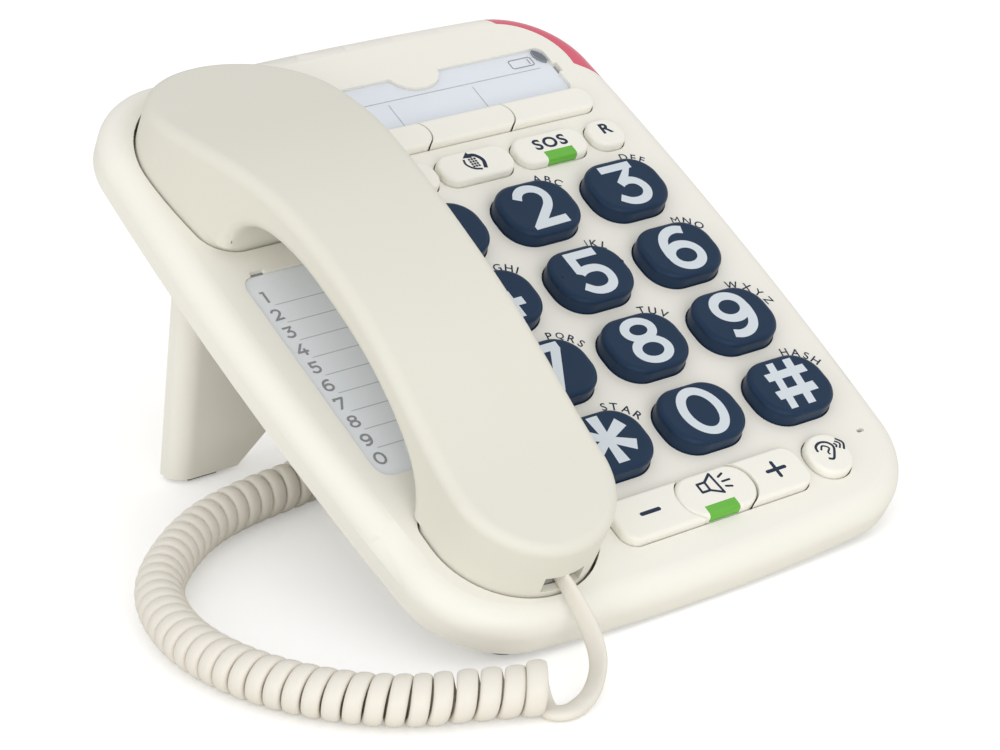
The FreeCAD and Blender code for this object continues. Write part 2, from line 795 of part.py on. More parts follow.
def make_upper_case():
    outer = case_block(0, -case_rim, 0, case_edge_round)
    shell = case_shell()
    well_outer = handset_cups(cup_gap + well_wall, well_floor_w - well_wall, -case_wall, -case_wall)
    bosses = [rod(x, v, lid_top_w, boss_radius, -case_wall - lid_top_w) for x, v in boss_places]
    shell = shell.fuse([piece.common(outer) for piece in well_outer + bosses])
    cuts = handset_cups(cup_gap, well_floor_w, 5, 5)
    cuts += key_holes()
    thread = screw_radius + thread_gap
    thread_bottom = lid_top_w - cut_past
    thread_length = screw_tip_w + screw_hole_spare - thread_bottom
    cuts += [rod(x, v, thread_bottom, thread, thread_length) for x, v in boss_places]
    cuts.append(window_recess())
    cuts.append(card_plate(-card_depth, card_depth + cut_past, 0))
    pry_left = card_x[0] + card_pry_start
    pry_back = card_v[1] + card_pry_depth
    cuts.append(rounded_box(pry_left, pry_left + card_pry_width, card_v[1] - cut_past, pry_back, -card_depth,
                            cut_past, card_pry_corner))
    slot_left = window_x[1] - sheet_gap
    slot_right = window_x[1] + pry_slot_width
    cuts.append(box(slot_left, slot_right, pry_slot_v[0], pry_slot_v[1], -pry_slot_depth, cut_past))
    cuts.append(slot_hole())
    cuts.append(lens_region(lens_gap))
    half = hook_width / 2 + running_gap
    depth = hook_length / 2 + running_gap
    cuts.append(box(handset_x - half, handset_x + half, hook_v - depth, hook_v + depth, tub_floor_w, 0))
    return solid_of(shell.cut(cuts).removeSplitter())


def window_recess():
    recess = rounded_box(window_x[0], window_x[1], window_v[0], window_v[1], -window_depth, cut_past,
                         window_corner)
    tongue = prism(label_notch, -window_depth - cut_past, window_depth + 3 * cut_past)
    return solid_of(recess.cut(tongue))


def slot_hole():
    half = (slot_length - slot_width) / 2
    radius = slot_width / 2
    low = -case_wall - cut_past
    slot = box(slot_x - half, slot_x + half, slot_v - radius, slot_v + radius, low, cut_past)
    ends = [rod(slot_x + side * half, slot_v, low, radius, cut_past - low) for side in (-1, 1)]
    return slot.fuse(ends).removeSplitter()


def make_lens():
    return solid_of(case_shell().common(lens_region(0)))


def make_lower_case():
    plate = case_block(case_wall + lid_gap, lid_bottom_w, lid_top_w, 0)
    tub = rounded_box(-tub_half_width, tub_half_width, tub_front_v, tub_rear_v, tub_bottom_w, lid_top_w,
                      tub_corner_radius)
    wall = case_wall
    hollow = rounded_box(wall - tub_half_width, tub_half_width - wall, tub_front_v + wall, tub_rear_v - wall,
                         tub_floor_w, lid_top_w + cut_past, tub_corner_radius - wall)
    body = plate.fuse(tub).cut(hollow)
    rests = [rod(x, v, lid_top_w, board_rest_radius, board_top_w - board_thickness - lid_top_w)
             for x, v in board_rest_places]
    bay = box(door_x[0] - bay_wall, door_x[1] + bay_wall, door_v[0] - bay_wall, door_v[1] + bay_wall,
              tub_floor_w, bay_top_w)
    bay = bay.cut(bay_room(tub_floor_w - cut_past, bay_top_w + cut_past))
    post = rod(handset_x, hook_v, tub_floor_w, hook_pin_radius, hook_post_height)
    body = body.fuse(rests + [bay, post])
    outside = lid_bottom_w - cut_past
    head_room = screw_head_radius + screw_head_gap
    cuts = [rod(x, v, outside, screw_hole_radius, lid_thickness + 2 * cut_past) for x, v in boss_places]
    cuts += [rod(x, v, outside, head_room, screw_head_height + cut_past) for x, v in boss_places]
    under = tub_bottom_w - cut_past
    cuts.append(box(door_x[0], door_x[1], door_v[0], door_v[1], under, tub_bottom_w + door_thickness))
    cuts.append(bay_room(under, tub_floor_w + cut_past))
    for ring_radius, count in grille_rings:
        for index in range(count):
            angle = 2 * math.pi * index / count
            x = speaker_x + ring_radius * math.cos(angle)
            v = speaker_v + ring_radius * math.sin(angle)
            cuts.append(rod(x, v, under, grille_hole_radius, case_wall + 2 * cut_past))
    cuts.append(line_jack_block())
    cuts.append(base_jack_block())
    return solid_of(body.cut(cuts).removeSplitter())


def bay_room(bottom, top):
    """The open middle of the battery bay, inside the ledge that carries the door."""
    return box(door_x[0] + bay_ledge, door_x[1] - bay_ledge, door_v[0] + bay_ledge, door_v[1] - bay_ledge,
               bottom, top)


def toe_bosses():
    """Upright bosses under the front of the lower case that carry the rubber feet."""
    toes = []
    under_lid = tilt(box(-beyond, beyond, -beyond, beyond, -beyond, lid_bottom_w + toe_overlap))
    for side in (-1, 1):
        toe = Part.makeCylinder(toe_radius, face_height, Vec(side * foot_x, foot_y, foot_height))
        toes.append(solid_of(toe.common(under_lid)))
    return toes


def line_jack_block():
    half = line_jack_width / 2
    low = line_jack_w - line_jack_height / 2
    return box(line_jack_x - half, line_jack_x + half, tub_rear_v - line_jack_length, tub_rear_v,
               low, low + line_jack_height)


def make_line_jack():
    half = line_socket_width / 2
    low = line_jack_w - line_socket_height / 2
    mouth = tub_rear_v + cut_past
    socket = box(line_jack_x - half, line_jack_x + half, tub_rear_v - line_socket_depth, mouth,
                 low, low + line_socket_height)
    return line_jack_block().cut(socket)


def base_jack_block():
    half = base_jack_size / 2
    return box(base_jack_x - half, base_jack_x + half, base_jack_v - half, base_jack_v + half,
               tub_bottom_w, tub_bottom_w + base_jack_height)


def make_base_jack():
    half = plug_width / 2 + plug_gap
    depth = plug_height / 2 + plug_gap
    socket = box(base_jack_x - half, base_jack_x + half, base_jack_v - depth, base_jack_v + depth,
                 tub_bottom_w - cut_past, tub_bottom_w + plug_length + plug_gap - base_plug_out)
    return base_jack_block().cut(socket)


def make_base_plug():
    half = plug_width / 2
    depth = plug_height / 2
    low = tub_bottom_w - base_plug_out
    return box(base_jack_x - half, base_jack_x + half, base_jack_v - depth, base_jack_v + depth,
               low, low + plug_length)


def stand_profile(front_shift, back_shift, bottom, half_width):
    """Side outline of the stand, a leaning strip, as a solid along x."""
    top = stand_trim_height
    points = [
        (stand_front_y - stand_lean * bottom + front_shift, bottom),
        (stand_front_y - stand_lean * top + front_shift, top),
        (stand_front_y - stand_lean * top + stand_depth + back_shift, top),
        (stand_front_y - stand_lean * bottom + stand_depth + back_shift, bottom),
    ]
    return profile_prism(points, half_width)


def arch_block(grow):
    foot = stand_half_width - stand_foot_width + grow
    rise = stand_arch_height + grow
    crown = foot - rise + pad_thickness
    points = [(-foot, -cut_past), (foot, -cut_past), (foot, pad_thickness)]
    points += [(crown, rise), (-crown, rise), (-foot, pad_thickness)]
    corners = [Vec(x, 0, z) for x, z in points]
    face = Part.Face(Part.makePolygon(corners + corners[:1]))
    return face.extrude(Vec(0, beyond, 0))


def around_case(grow):
    """The lower case and everything above it, kept clear of the stand."""
    room = tub_half_width + stand_top_gap + grow
    lid_w = lid_bottom_w - stand_top_gap - grow
    above_lid = box(-beyond, beyond, -beyond, beyond, lid_w, beyond)
    tub = box(-room, room, tub_front_v - stand_depth, tub_rear_v + stand_depth, tub_bottom_w - grow, beyond)
    return [tilt(above_lid), tilt(tub)]


def make_stand():
    outer = stand_profile(0, 0, pad_thickness, stand_half_width)
    corners = []
    for edge in outer.Edges:
        a, b = [vertex.Point for vertex in edge.Vertexes]
        on_front = all(abs(p.y - (stand_front_y - stand_lean * p.z)) < same_place for p in (a, b))
        if on_front and abs(a.z - b.z) > same_place:
            corners.append(edge)
    outer = outer.makeFillet(stand_corner, corners)
    wall = stand_wall
    outer = outer.cut(around_case(0) + [arch_block(0)])
    hollow = stand_profile(wall, stand_depth, pad_thickness + wall, stand_half_width - wall)
    hollow = hollow.cut(around_case(wall) + [arch_block(wall)])
    plate = tilt(box(-stand_plate_x, stand_plate_x, stand_plate_v[0], stand_plate_v[1],
                     tub_bottom_w - stand_plate_thickness, tub_bottom_w))
    return solid_of(outer.cut(hollow).fuse(plate).removeSplitter())


def make_stand_pads():
    front = stand_front_y + (stand_depth - pad_depth) / 2
    pads = []
    for side in (-1, 1):
        left = side * pad_x - pad_width / 2
        pads.append(box(left, left + pad_width, front, front + pad_depth, 0, pad_thickness))
    return Part.makeCompound(pads)


def make_mat(post_places):
    margin = mat_margin
    mat = box(board_x[0] + margin, board_x[1] - margin, board_v[0] + margin, board_v[1] - margin,
              board_top_w, mat_top_w)
    domes = []
    for x, v in post_places:
        dome = rod(x, v, board_top_w, dome_radius, mat_thickness + dome_height)
        domes.append(dome.cut(rod(x, v, mat_top_w, dome_inner_radius, dome_height + cut_past)))
    return solid_of(mat.fuse(domes).removeSplitter())


def post_places():
    places = []
    for name, sides, ends, corner, height in key_outlines():
        places.append(((sides[0] + sides[1]) / 2, (ends[0] + ends[1]) / 2))
    first, second = memory_splits
    memory_v = (memory_front_v + memory_rear_v) / 2
    for left, right in ((memory_left_x, first), (first, second), (second, memory_right_x)):
        places.append(((left + right) / 2, memory_v))
    volume_v = (bottom_front_v + bottom_rear_v) / 2
    places.append((minus_post_x, volume_v))
    places.append((plus_post_x, volume_v))
    return places


def make_board():
    return box(board_x[0], board_x[1], board_v[0], board_v[1], board_top_w - board_thickness, board_top_w)


def make_screws(places, head_w, tip_w, head_down):
    screws = []
    for x, v in places:
        shaft = rod(x, v, min(head_w, tip_w), screw_radius, abs(tip_w - head_w))
        head_low = head_w - screw_head_height if head_down else head_w
        screws.append(shaft.fuse(rod(x, v, head_low, screw_head_radius, screw_head_height)).removeSplitter())
    return Part.makeCompound(screws)


def make_hook():
    flange_top = well_floor_w - well_wall - running_gap - hook_travel - hook_gap
    low = flange_top - hook_flange_thickness
    half = hook_width / 2
    depth = hook_length / 2
    stem = box(handset_x - half, handset_x + half, hook_v - depth, hook_v + depth, low, well_floor_w)
    reach = hook_flange / 2
    side = hook_flange_depth / 2
    flange = box(handset_x - reach, handset_x + reach, hook_v - side, hook_v + side, low, flange_top)
    pin = rod(handset_x, hook_v, low - hook_pin_length, hook_pin_radius, hook_pin_length)
    spring_length = low - spring_gap - tub_floor_w
    outer = rod(handset_x, hook_v, tub_floor_w, spring_radius, spring_length)
    bore = rod(handset_x, hook_v, tub_floor_w - cut_past, spring_inner_radius, spring_length + 2 * cut_past)
    spring = outer.cut(bore)
    return stem.fuse([flange, pin]).removeSplitter(), spring


def parting_block():
    """Everything under the handset's parting surface."""
    reach = 2 * ear_radius
    line = curve_through([Vec(handset_x - reach, v, w) for v, w in parting_line])
    start = line.StartPoint
    end = line.EndPoint
    low_start = Vec(start.x, start.y, -beyond)
    low_end = Vec(end.x, end.y, -beyond)
    edges = [
        line.toShape(),
        Part.LineSegment(end, low_end).toShape(),
        Part.LineSegment(low_end, low_start).toShape(),
        Part.LineSegment(low_start, start).toShape(),
    ]
    return Part.Face(Part.Wire(edges)).extrude(Vec(2 * reach, 0, 0))


def jack_opening():
    half = jack_mouth_width / 2
    return box(handset_x - half, handset_x + half, -beyond, jack_front_v, jack_mouth_w[0], jack_mouth_w[1])


def make_handset():
    outer = handset_body(0)
    inner = handset_body(handset_wall)
    shell = outer.cut(inner)
    under = parting_block()
    upper = solid_of(shell.cut(under))
    lower = solid_of(shell.common(under))
    low = cup_bottom_w - cut_past
    through = handset_wall + 2 * cut_past
    holes = [jack_opening(), rod(handset_x, capsule_v, low, ear_hole_radius, through)]
    for index in range(ear_hole_count):
        angle = 2 * math.pi * index / ear_hole_count
        x = handset_x + ear_hole_ring * math.cos(angle)
        v = capsule_v + ear_hole_ring * math.sin(angle)
        holes.append(rod(x, v, low, ear_hole_radius, through))
    holes.append(rod(handset_x, mic_v, low, ear_hole_radius, through))
    floor = cup_bottom_w + handset_wall
    for v in handset_screw_places:
        lower = lower.fuse(rod(handset_x, v, cup_bottom_w, boss_radius, handset_wall + handset_stub))
        holes.append(rod(handset_x, v, low, screw_hole_radius, handset_ceiling_w - low))
        head_room = screw_head_radius + screw_head_gap
        holes.append(rod(handset_x, v, low, head_room, cup_bottom_w + screw_head_height - low))
        boss = rod(handset_x, v, floor + handset_stub, boss_radius, handset_ceiling_w).common(inner)
        upper = upper.fuse(boss)
        thread_length = floor + handset_screw_length - low
        upper = upper.cut(rod(handset_x, v, low, screw_radius + thread_gap, thread_length))
    lower = lower.cut(holes)
    return solid_of(upper.removeSplitter()), solid_of(lower.removeSplitter())


def make_handset_screws():
    screws = []
    for v in handset_screw_places:
        head = rod(handset_x, v, cup_bottom_w, screw_head_radius, screw_head_height)
        shaft = rod(handset_x, v, cup_bottom_w, screw_radius, handset_screw_length)
        screws.append(head.fuse(shaft).removeSplitter())
    return Part.makeCompound(screws)


def make_handset_jack():
    half = jack_width / 2
    low = plug_axis_w - jack_height / 2
    block = box(handset_x - half, handset_x + half, jack_front_v, jack_front_v + jack_length,
                low, low + jack_height)
    plug_half = plug_width / 2 + plug_gap
    plug_low = plug_axis_w - plug_height / 2 - plug_gap
    socket_end = plug_rear_v + plug_length + plug_gap
    socket = box(handset_x - plug_half, handset_x + plug_half, jack_front_v - cut_past, socket_end,
                 plug_low, plug_low + plug_height + 2 * plug_gap)
    return block.cut(socket)


def make_handset_plug():
    half = plug_width / 2
    low = plug_axis_w - plug_height / 2
    return box(handset_x - half, handset_x + half, plug_rear_v, plug_rear_v + plug_length,
               low, low + plug_height)


def make_ballast():
    half = ballast_width / 2
    length = ballast_length / 2
    return box(handset_x - half, handset_x + half, ballast_v - length, ballast_v + length, ballast_w,
               ballast_w + ballast_thickness)


def make_loudspeaker():
    basket = rod(speaker_x, speaker_v, tub_floor_w, speaker_radius, speaker_basket_height)
    magnet = rod(speaker_x, speaker_v, tub_floor_w, speaker_magnet_radius, speaker_height)
    return basket.fuse(magnet).removeSplitter()


def make_batteries():
    length = cell_length / 2
    middle_x = (door_x[0] + door_x[1]) / 2
    middle_v = (door_v[0] + door_v[1]) / 2
    low = tub_bottom_w + door_thickness + cell_gap + cell_radius
    cells = []
    for index in range(cell_count):
        v = middle_v + (index - (cell_count - 1) / 2) * cell_pitch
        cells.append(Part.makeCylinder(cell_radius, 2 * length, Vec(middle_x - length, v, low), Vec(1, 0, 0)))
    return Part.makeCompound(cells)


def make_door():
    gap = door_gap
    return box(door_x[0] + gap, door_x[1] - gap, door_v[0] + gap, door_v[1] - gap, tub_bottom_w,
               tub_bottom_w + door_thickness)


def unit(vector):
    return vector * (1 / vector.Length)


def arc_from(start, end, tangent, leaving):
    """Arc between two points with a given tangent at its start (leaving) or at its end."""
    chord = end - start
    along = unit(chord)
    across_chord = tangent - along * tangent.dot(along)
    if not leaving:
        across_chord = across_chord * -1
    angle = math.acos(max(-1.0, min(1.0, tangent.dot(along))))
    if across_chord.Length < 1e-6:
        return Part.LineSegment(start, end).toShape()
    middle = (start + end) * 0.5 + unit(across_chord) * (chord.Length / 2 * math.tan(angle / 2))
    return Part.Arc(start, middle, end).toShape()


def biarc(start, start_tangent, end, end_tangent):
    """Two arcs that leave and arrive with the given tangents."""
    chord = end - start
    both = start_tangent + end_tangent
    dot = 2 * (1 - start_tangent.dot(end_tangent))
    along = chord.dot(both)
    reach = (math.sqrt(along * along + dot * chord.dot(chord)) - along) / dot
    joint = (start + end + (start_tangent - end_tangent) * reach) * 0.5
    return [arc_from(start, joint, start_tangent, True), arc_from(joint, end, end_tangent, False)]


def coil_points():
    """Points and tangents of the wire, two for each curl, along the middle line of the coil."""
    line = Part.BSplineCurve()
    line.buildFromPoles([Vec(x, y, coil_height) for x, y in coil_route], False, 2)
    curls = round(line.length() / coil_pitch)
    half_turns = 2 * curls - 1  # the wire comes in at the top of the coil and leaves at its bottom
    places = line.discretize(Number=half_turns + 1)
    up = Vec(0, 0, 1)
    turn_rate = math.pi * half_turns / line.length()
    points = []
    for index, place in enumerate(places):
        forward = unit(Vec(*line.tangent(line.parameter(place))[0]))
        side = up.cross(forward)
        angle = math.pi * index
        out = up * math.cos(angle) + side * math.sin(angle)
        round_turn = side * math.cos(angle) - up * math.sin(angle)
        tangent = unit(round_turn * (wire_radius * turn_rate) + forward)
        points.append((place + out * wire_radius, tangent, forward, side))
    return points, curls


def coil_ends(points):
    """Where each end of the wire leaves the coil, with its direction."""
    first, first_tangent, forward, side = points[0]
    radius = coil_tail_radius
    inlet = first - side * radius - forward * radius
    inlet_start = inlet - forward * cord_diameter
    last, last_tangent, forward_end, side_end = points[-1]
    heading = unit(Vec(lead_heading[0], lead_heading[1], 0))
    out_of_coil = side_end * -1
    left = Vec(-out_of_coil.y, out_of_coil.x, 0)
    right_of_heading = Vec(heading.y, -heading.x, 0)
    outlet = last + left * radius + right_of_heading * radius
    outlet_end = outlet + heading * cord_diameter
    return (inlet_start, inlet, forward), (outlet, outlet_end, heading)


def make_coil():
    points, curls = coil_points()
    (inlet_start, inlet, inlet_way), (outlet, outlet_end, outlet_way) = coil_ends(points)
    edges = [Part.LineSegment(inlet_start, inlet).toShape()]
    edges += biarc(inlet, inlet_way, points[0][0], points[0][1])
    for (start, start_tangent, f0, s0), (end, end_tangent, f1, s1) in zip(points, points[1:]):
        edges += biarc(start, start_tangent, end, end_tangent)
    edges += biarc(points[-1][0], points[-1][1], outlet, outlet_way)
    edges.append(Part.LineSegment(outlet, outlet_end).toShape())
    print("coil: curls", curls, "wire length", round(sum(e.Length for e in edges), 1))
    print("coil: least gap between curls", round(self_gap(edges), 2))
    return sweep(edges, inlet_start, inlet_way)


def self_gap(edges):
    """Least clear distance between stretches of the wire that lie over two diameters apart along it."""
    samples = []
    travelled = 0.0
    for edge in edges:
        count = max(2, int(edge.Length / sample_length))
        for index in range(count):
            share = edge.FirstParameter + (edge.LastParameter - edge.FirstParameter) * index / count
            samples.append((edge.valueAt(share), travelled + edge.Length * index / count))
        travelled += edge.Length
    window = int(3 * math.pi * coil_outer_diameter / sample_length)  # three curls of wire
    least = 1e9
    for index, (point, place) in enumerate(samples):
        for other, other_place in samples[index + 1:index + window]:
            if other_place - place > 3 * cord_diameter:
                least = min(least, point.distanceToPoint(other))
    return least - cord_diameter


def sweep(edges, start, direction):
    path = Part.Wire(edges)
    profile = Part.Wire(Part.Circle(start, direction, cord_diameter / 2).toShape())
    tube = path.makePipeShell([profile], True, False)
    section = math.pi * cord_diameter * cord_diameter / 4
    print("tube: volume over section times length", round(tube.Volume / (section * path.Length), 4))
    return tube


def lead_tube(name, points):
    """Straight runs joined by tangent arcs, each arc as large as its two runs allow."""
    edges = []
    place = points[0]
    radii = []
    for before, corner, after in zip(points, points[1:], points[2:]):
        came = corner - before
        goes = after - corner
        turn = came.getAngle(goes)
        cut = 0.45 * min(came.Length, goes.Length)
        radii.append(round(cut / math.tan(turn / 2), 1))
        arc_start = corner - unit(came) * cut
        arc_end = corner + unit(goes) * cut
        edges.append(Part.LineSegment(place, arc_start).toShape())
        edges.append(arc_from(arc_start, arc_end, unit(came), True))
        place = arc_end
    edges.append(Part.LineSegment(place, points[-1]).toShape())
    print(name, "arc radii", radii, "length", round(sum(e.Length for e in edges), 1))
    return sweep(edges, points[0], unit(points[1] - points[0]))


def make_base_lead(coil_inlet):
    exit_point = tilt_point(base_jack_x, base_jack_v, tub_bottom_w - base_plug_out)
    points = [exit_point] + [Vec(*p) for p in base_lead_route] + [coil_inlet]
    return lead_tube("base lead", points)


def make_handset_lead(coil_outlet):
    approach = tilt_point(handset_x, plug_rear_v - lead_approach, plug_axis_w)
    exit_point = tilt_point(handset_x, plug_rear_v - lead_gap, plug_axis_w)
    points = [coil_outlet] + [Vec(*p) for p in handset_lead_route] + [approach, exit_point]
    return lead_tube("handset lead", points)


def build_pieces():
    """Every piece of the telephone, in its place above the desk."""
    flat = {}
    flat["upper_case"] = make_upper_case()
    flat.update(make_keys())
    flat.update(green_parts(flat))
    flat["ring_indicator_lens"] = make_lens()
    flat["label_paper"] = window_plate(-window_depth, paper_thickness, sheet_gap)
    cover_w = -window_depth + paper_thickness + sheet_gap
    flat["label_window"] = window_plate(cover_w, cover_thickness, sheet_gap)
    flat["battery_light"] = battery_leaf(-window_depth, paper_thickness + sheet_gap + cover_thickness, 0)
    flat["index_card"] = card_plate(-card_depth, paper_thickness, sheet_gap)
    flat["index_cover"] = card_plate(-card_depth + paper_thickness + sheet_gap, card_depth - paper_thickness
                                     - 2 * sheet_gap, sheet_gap)
    flat["keypad_mat"] = make_mat(post_places())
    flat["main_board"] = make_board()
    right = case_half_width - ring_board_right
    rear = rear_edge_v - ring_board_rear
    flat["ring_light_board"] = box(right - ring_board_width, right, rear - ring_board_length, rear,
                                   lid_top_w, lid_top_w + board_thickness)
    flat["loudspeaker"] = make_loudspeaker()
    flat["base_microphone"] = rod(slot_x, slot_v, -case_wall - base_mic_height, mic_radius, base_mic_height)
    flat["hook_plunger"], flat["hook_spring"] = make_hook()
    flat["handset_upper_shell"], flat["handset_lower_shell"] = make_handset()
    inner_floor = cup_bottom_w + handset_wall
    flat["earpiece_capsule"] = rod(handset_x, capsule_v, inner_floor, capsule_radius, capsule_height)
    flat["handset_microphone"] = rod(handset_x, mic_v, inner_floor, mic_radius, mic_height)
    flat["handset_ballast"] = make_ballast()
    flat["handset_jack"] = make_handset_jack()
    flat["handset_plug"] = make_handset_plug()
    flat["handset_screws"] = make_handset_screws()
    flat["case_screws"] = make_screws(boss_places, lid_bottom_w + screw_head_height, screw_tip_w, True)
    flat["line_jack"] = make_line_jack()
    flat["base_cord_jack"] = make_base_jack()
    flat["base_plug"] = make_base_plug()
    flat["battery_door"] = make_door()
    flat["batteries"] = make_batteries()
    pieces = {name: tilt(shape) for name, shape in flat.items()}
    pieces["lower_case"] = solid_of(tilt(make_lower_case()).fuse(toe_bosses()).removeSplitter())
    pieces["desk_stand"] = make_stand()
    pieces["stand_foot_pads"] = make_stand_pads()
    feet = [rod(side * foot_x, foot_y, 0, foot_radius, foot_height) for side in (-1, 1)]
    pieces["front_feet"] = Part.makeCompound(feet)
    points, curls = coil_points()
    (inlet_start, inlet, inlet_way), (outlet, outlet_end, outlet_way) = coil_ends(points)
    pieces["cord_coil"] = make_coil()
    pieces["base_lead"] = make_base_lead(inlet_start)
    pieces["handset_lead"] = make_handset_lead(outlet_end)
    return pieces


def base_centre(pieces):
    """Middle of the box round everything but the cord, at desk level."""
    low_x, high_x, low_y, high_y = 1e9, -1e9, 1e9, -1e9
    for name, shape in pieces.items():
        if name not in cord_nodes:
            for point in shape.tessellate(0.05)[0]:
                low_x = min(low_x, point.x)
                high_x = max(high_x, point.x)
                low_y = min(low_y, point.y)
                high_y = max(high_y, point.y)
    return Vec((low_x + high_x) / 2, (low_y + high_y) / 2, 0)


pieces = build_pieces()
centre = base_centre(pieces)
print("base centre", round(centre.x, 3), round(centre.y, 3))
os.makedirs("parts", exist_ok=True)
for name, shape in sorted(pieces.items()):
    shape.translate(centre * -1)
    volume = round(shape.Volume / 1000, 3)
    print(name, "solids", len(shape.Solids), "valid", shape.isValid(), "cm3", volume)
    shape.exportStep("parts/" + name + ".step")
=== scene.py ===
import json
import math

import bpy
import numpy as np
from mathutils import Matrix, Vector


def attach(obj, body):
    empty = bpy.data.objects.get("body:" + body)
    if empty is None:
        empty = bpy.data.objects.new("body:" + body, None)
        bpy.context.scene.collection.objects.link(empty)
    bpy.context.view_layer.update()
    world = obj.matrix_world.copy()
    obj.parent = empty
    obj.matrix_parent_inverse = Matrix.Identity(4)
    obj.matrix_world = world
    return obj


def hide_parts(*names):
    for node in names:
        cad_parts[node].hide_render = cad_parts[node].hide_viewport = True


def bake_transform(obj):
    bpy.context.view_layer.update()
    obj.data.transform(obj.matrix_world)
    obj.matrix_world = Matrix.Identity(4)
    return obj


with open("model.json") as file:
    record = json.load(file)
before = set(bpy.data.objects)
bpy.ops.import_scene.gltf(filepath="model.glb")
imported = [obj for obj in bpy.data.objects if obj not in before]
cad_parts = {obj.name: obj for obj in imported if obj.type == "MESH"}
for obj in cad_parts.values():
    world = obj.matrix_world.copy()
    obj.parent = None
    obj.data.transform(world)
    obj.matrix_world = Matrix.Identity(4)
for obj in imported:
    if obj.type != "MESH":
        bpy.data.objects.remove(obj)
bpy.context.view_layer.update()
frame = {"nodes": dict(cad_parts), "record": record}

nodes = frame["nodes"]

# The telephone's sizes are millimetres, turned to metres by mm. The studio's sizes are metres.
# In the face frame x runs to the right, v up the face and w out of it.
mm = 0.001
faceTilt = math.radians(27.64)
baseShift = np.array([0.0, -21.695, 0.0])  # from the case's own middle to the middle of its footprint
faceOrigin = np.array([0.0, 0.0, 54.5]) + baseShift
faceX = np.array([1.0, 0.0, 0.0])
faceV = np.array([0.0, math.cos(faceTilt), math.sin(faceTilt)])
faceW = np.array([0.0, -math.sin(faceTilt), math.cos(faceTilt)])


def toWorld(points):
    # face frame millimetres to metres of the model: origin plus x, v and w times the three face directions
    points = np.asarray(points, float)
    return (faceOrigin + points @ np.array([faceX, faceV, faceW])) * mm


# Camera

view = {
    "place": (-494.09, -636.87, 381.04),  # from the case's own middle
    "direction": (0.55329, 0.73762, -0.38705),
    "lens": 108.0,
    "sensor": 36.0,
    "clip": (0.05, 20.0),  # metres
}


def makeCamera():
    data = bpy.data.cameras.new("studioCamera")
    data.lens = view["lens"]
    data.sensor_width = view["sensor"]
    data.clip_start, data.clip_end = view["clip"]
    camera = bpy.data.objects.new("studioCamera", data)
    bpy.context.scene.collection.objects.link(camera)
    camera.location = Vector((np.array(view["place"]) + baseShift) * mm)
    camera.rotation_euler = Vector(view["direction"]).to_track_quat("-Z", "Y").to_euler()
    bpy.context.scene.camera = camera
    bpy.context.scene.view_settings.view_transform = "Standard"  # colours stay as they are named


# Materials

def linearColour(hexText):
    parts = [int(hexText[i:i + 2], 16) / 255 for i in (1, 3, 5)]
    return tuple(p / 12.92 if p <= 0.04045 else ((p + 0.055) / 1.055) ** 2.4 for p in parts) + (1.0,)


def addNode(tree, kind, settings=None, inputs=None):
    node = tree.nodes.new(kind)
    for name, value in (settings or {}).items():
        setattr(node, name, value)
    for socket, value in (inputs or {}).items():
        if isinstance(value, bpy.types.NodeSocket):
            tree.links.new(value, node.inputs[socket])
        else:
            node.inputs[socket].default_value = value
    return node


def startMaterial(name):
    material = bpy.data.materials.new(name)
    material.use_nodes = True
    tree = material.node_tree
    tree.nodes.clear()
    return material, tree, addNode(tree, "ShaderNodeOutputMaterial")


roughSpread = (-0.04, 0.05)  # the roughness of the grain's hollows and tops, from the mean


def makeMaterial(name, look):
    # one colour with a faint cloud in it and a very fine grain, its tops a little rougher than its hollows
    material, tree, output = startMaterial(name)
    place = addNode(tree, "ShaderNodeTexCoord").outputs["Object"]
    cloud = addNode(tree, "ShaderNodeTexNoise", None,
                    {"Vector": place, "Scale": 1 / (look["cloud"] * mm), "Detail": 2.0, "Roughness": 0.5})
    tint = addNode(tree, "ShaderNodeMix", {"data_type": "RGBA"},
                   {0: cloud.outputs["Fac"], 6: linearColour(look["colour"]), 7: linearColour(look["shade"])})
    grain = addNode(tree, "ShaderNodeTexNoise", None,
                    {"Vector": place, "Scale": 1 / (look["grain"] * mm), "Detail": 3.0, "Roughness": 0.6})
    bump = addNode(tree, "ShaderNodeBump", None,
                   {"Strength": look["bump"], "Distance": look["depth"] * mm, "Height": grain.outputs["Fac"]})
    rough = addNode(tree, "ShaderNodeMapRange", None,
                    {"Value": grain.outputs["Fac"], "To Min": look["rough"] + roughSpread[0],
                     "To Max": look["rough"] + roughSpread[1]})
    shader = addNode(tree, "ShaderNodeBsdfPrincipled", None,
                     {"Base Color": tint.outputs[2], "Roughness": rough.outputs["Result"],
                      "IOR": 1.5, "Normal": bump.outputs["Normal"]})
    for value, socket in (("specular", "Specular IOR Level"), ("alpha", "Alpha"), ("metal", "Metallic")):
        if value in look:
            shader.inputs[socket].default_value = look[value]
    tree.links.new(shader.outputs["BSDF"], output.inputs["Surface"])
    return material


def dress(nodeName, material):
    node = nodes[nodeName]
    if not node.data.materials:
        node.data.materials.append(material)
    for index in range(len(node.material_slots)):
        node.material_slots[index].material = material


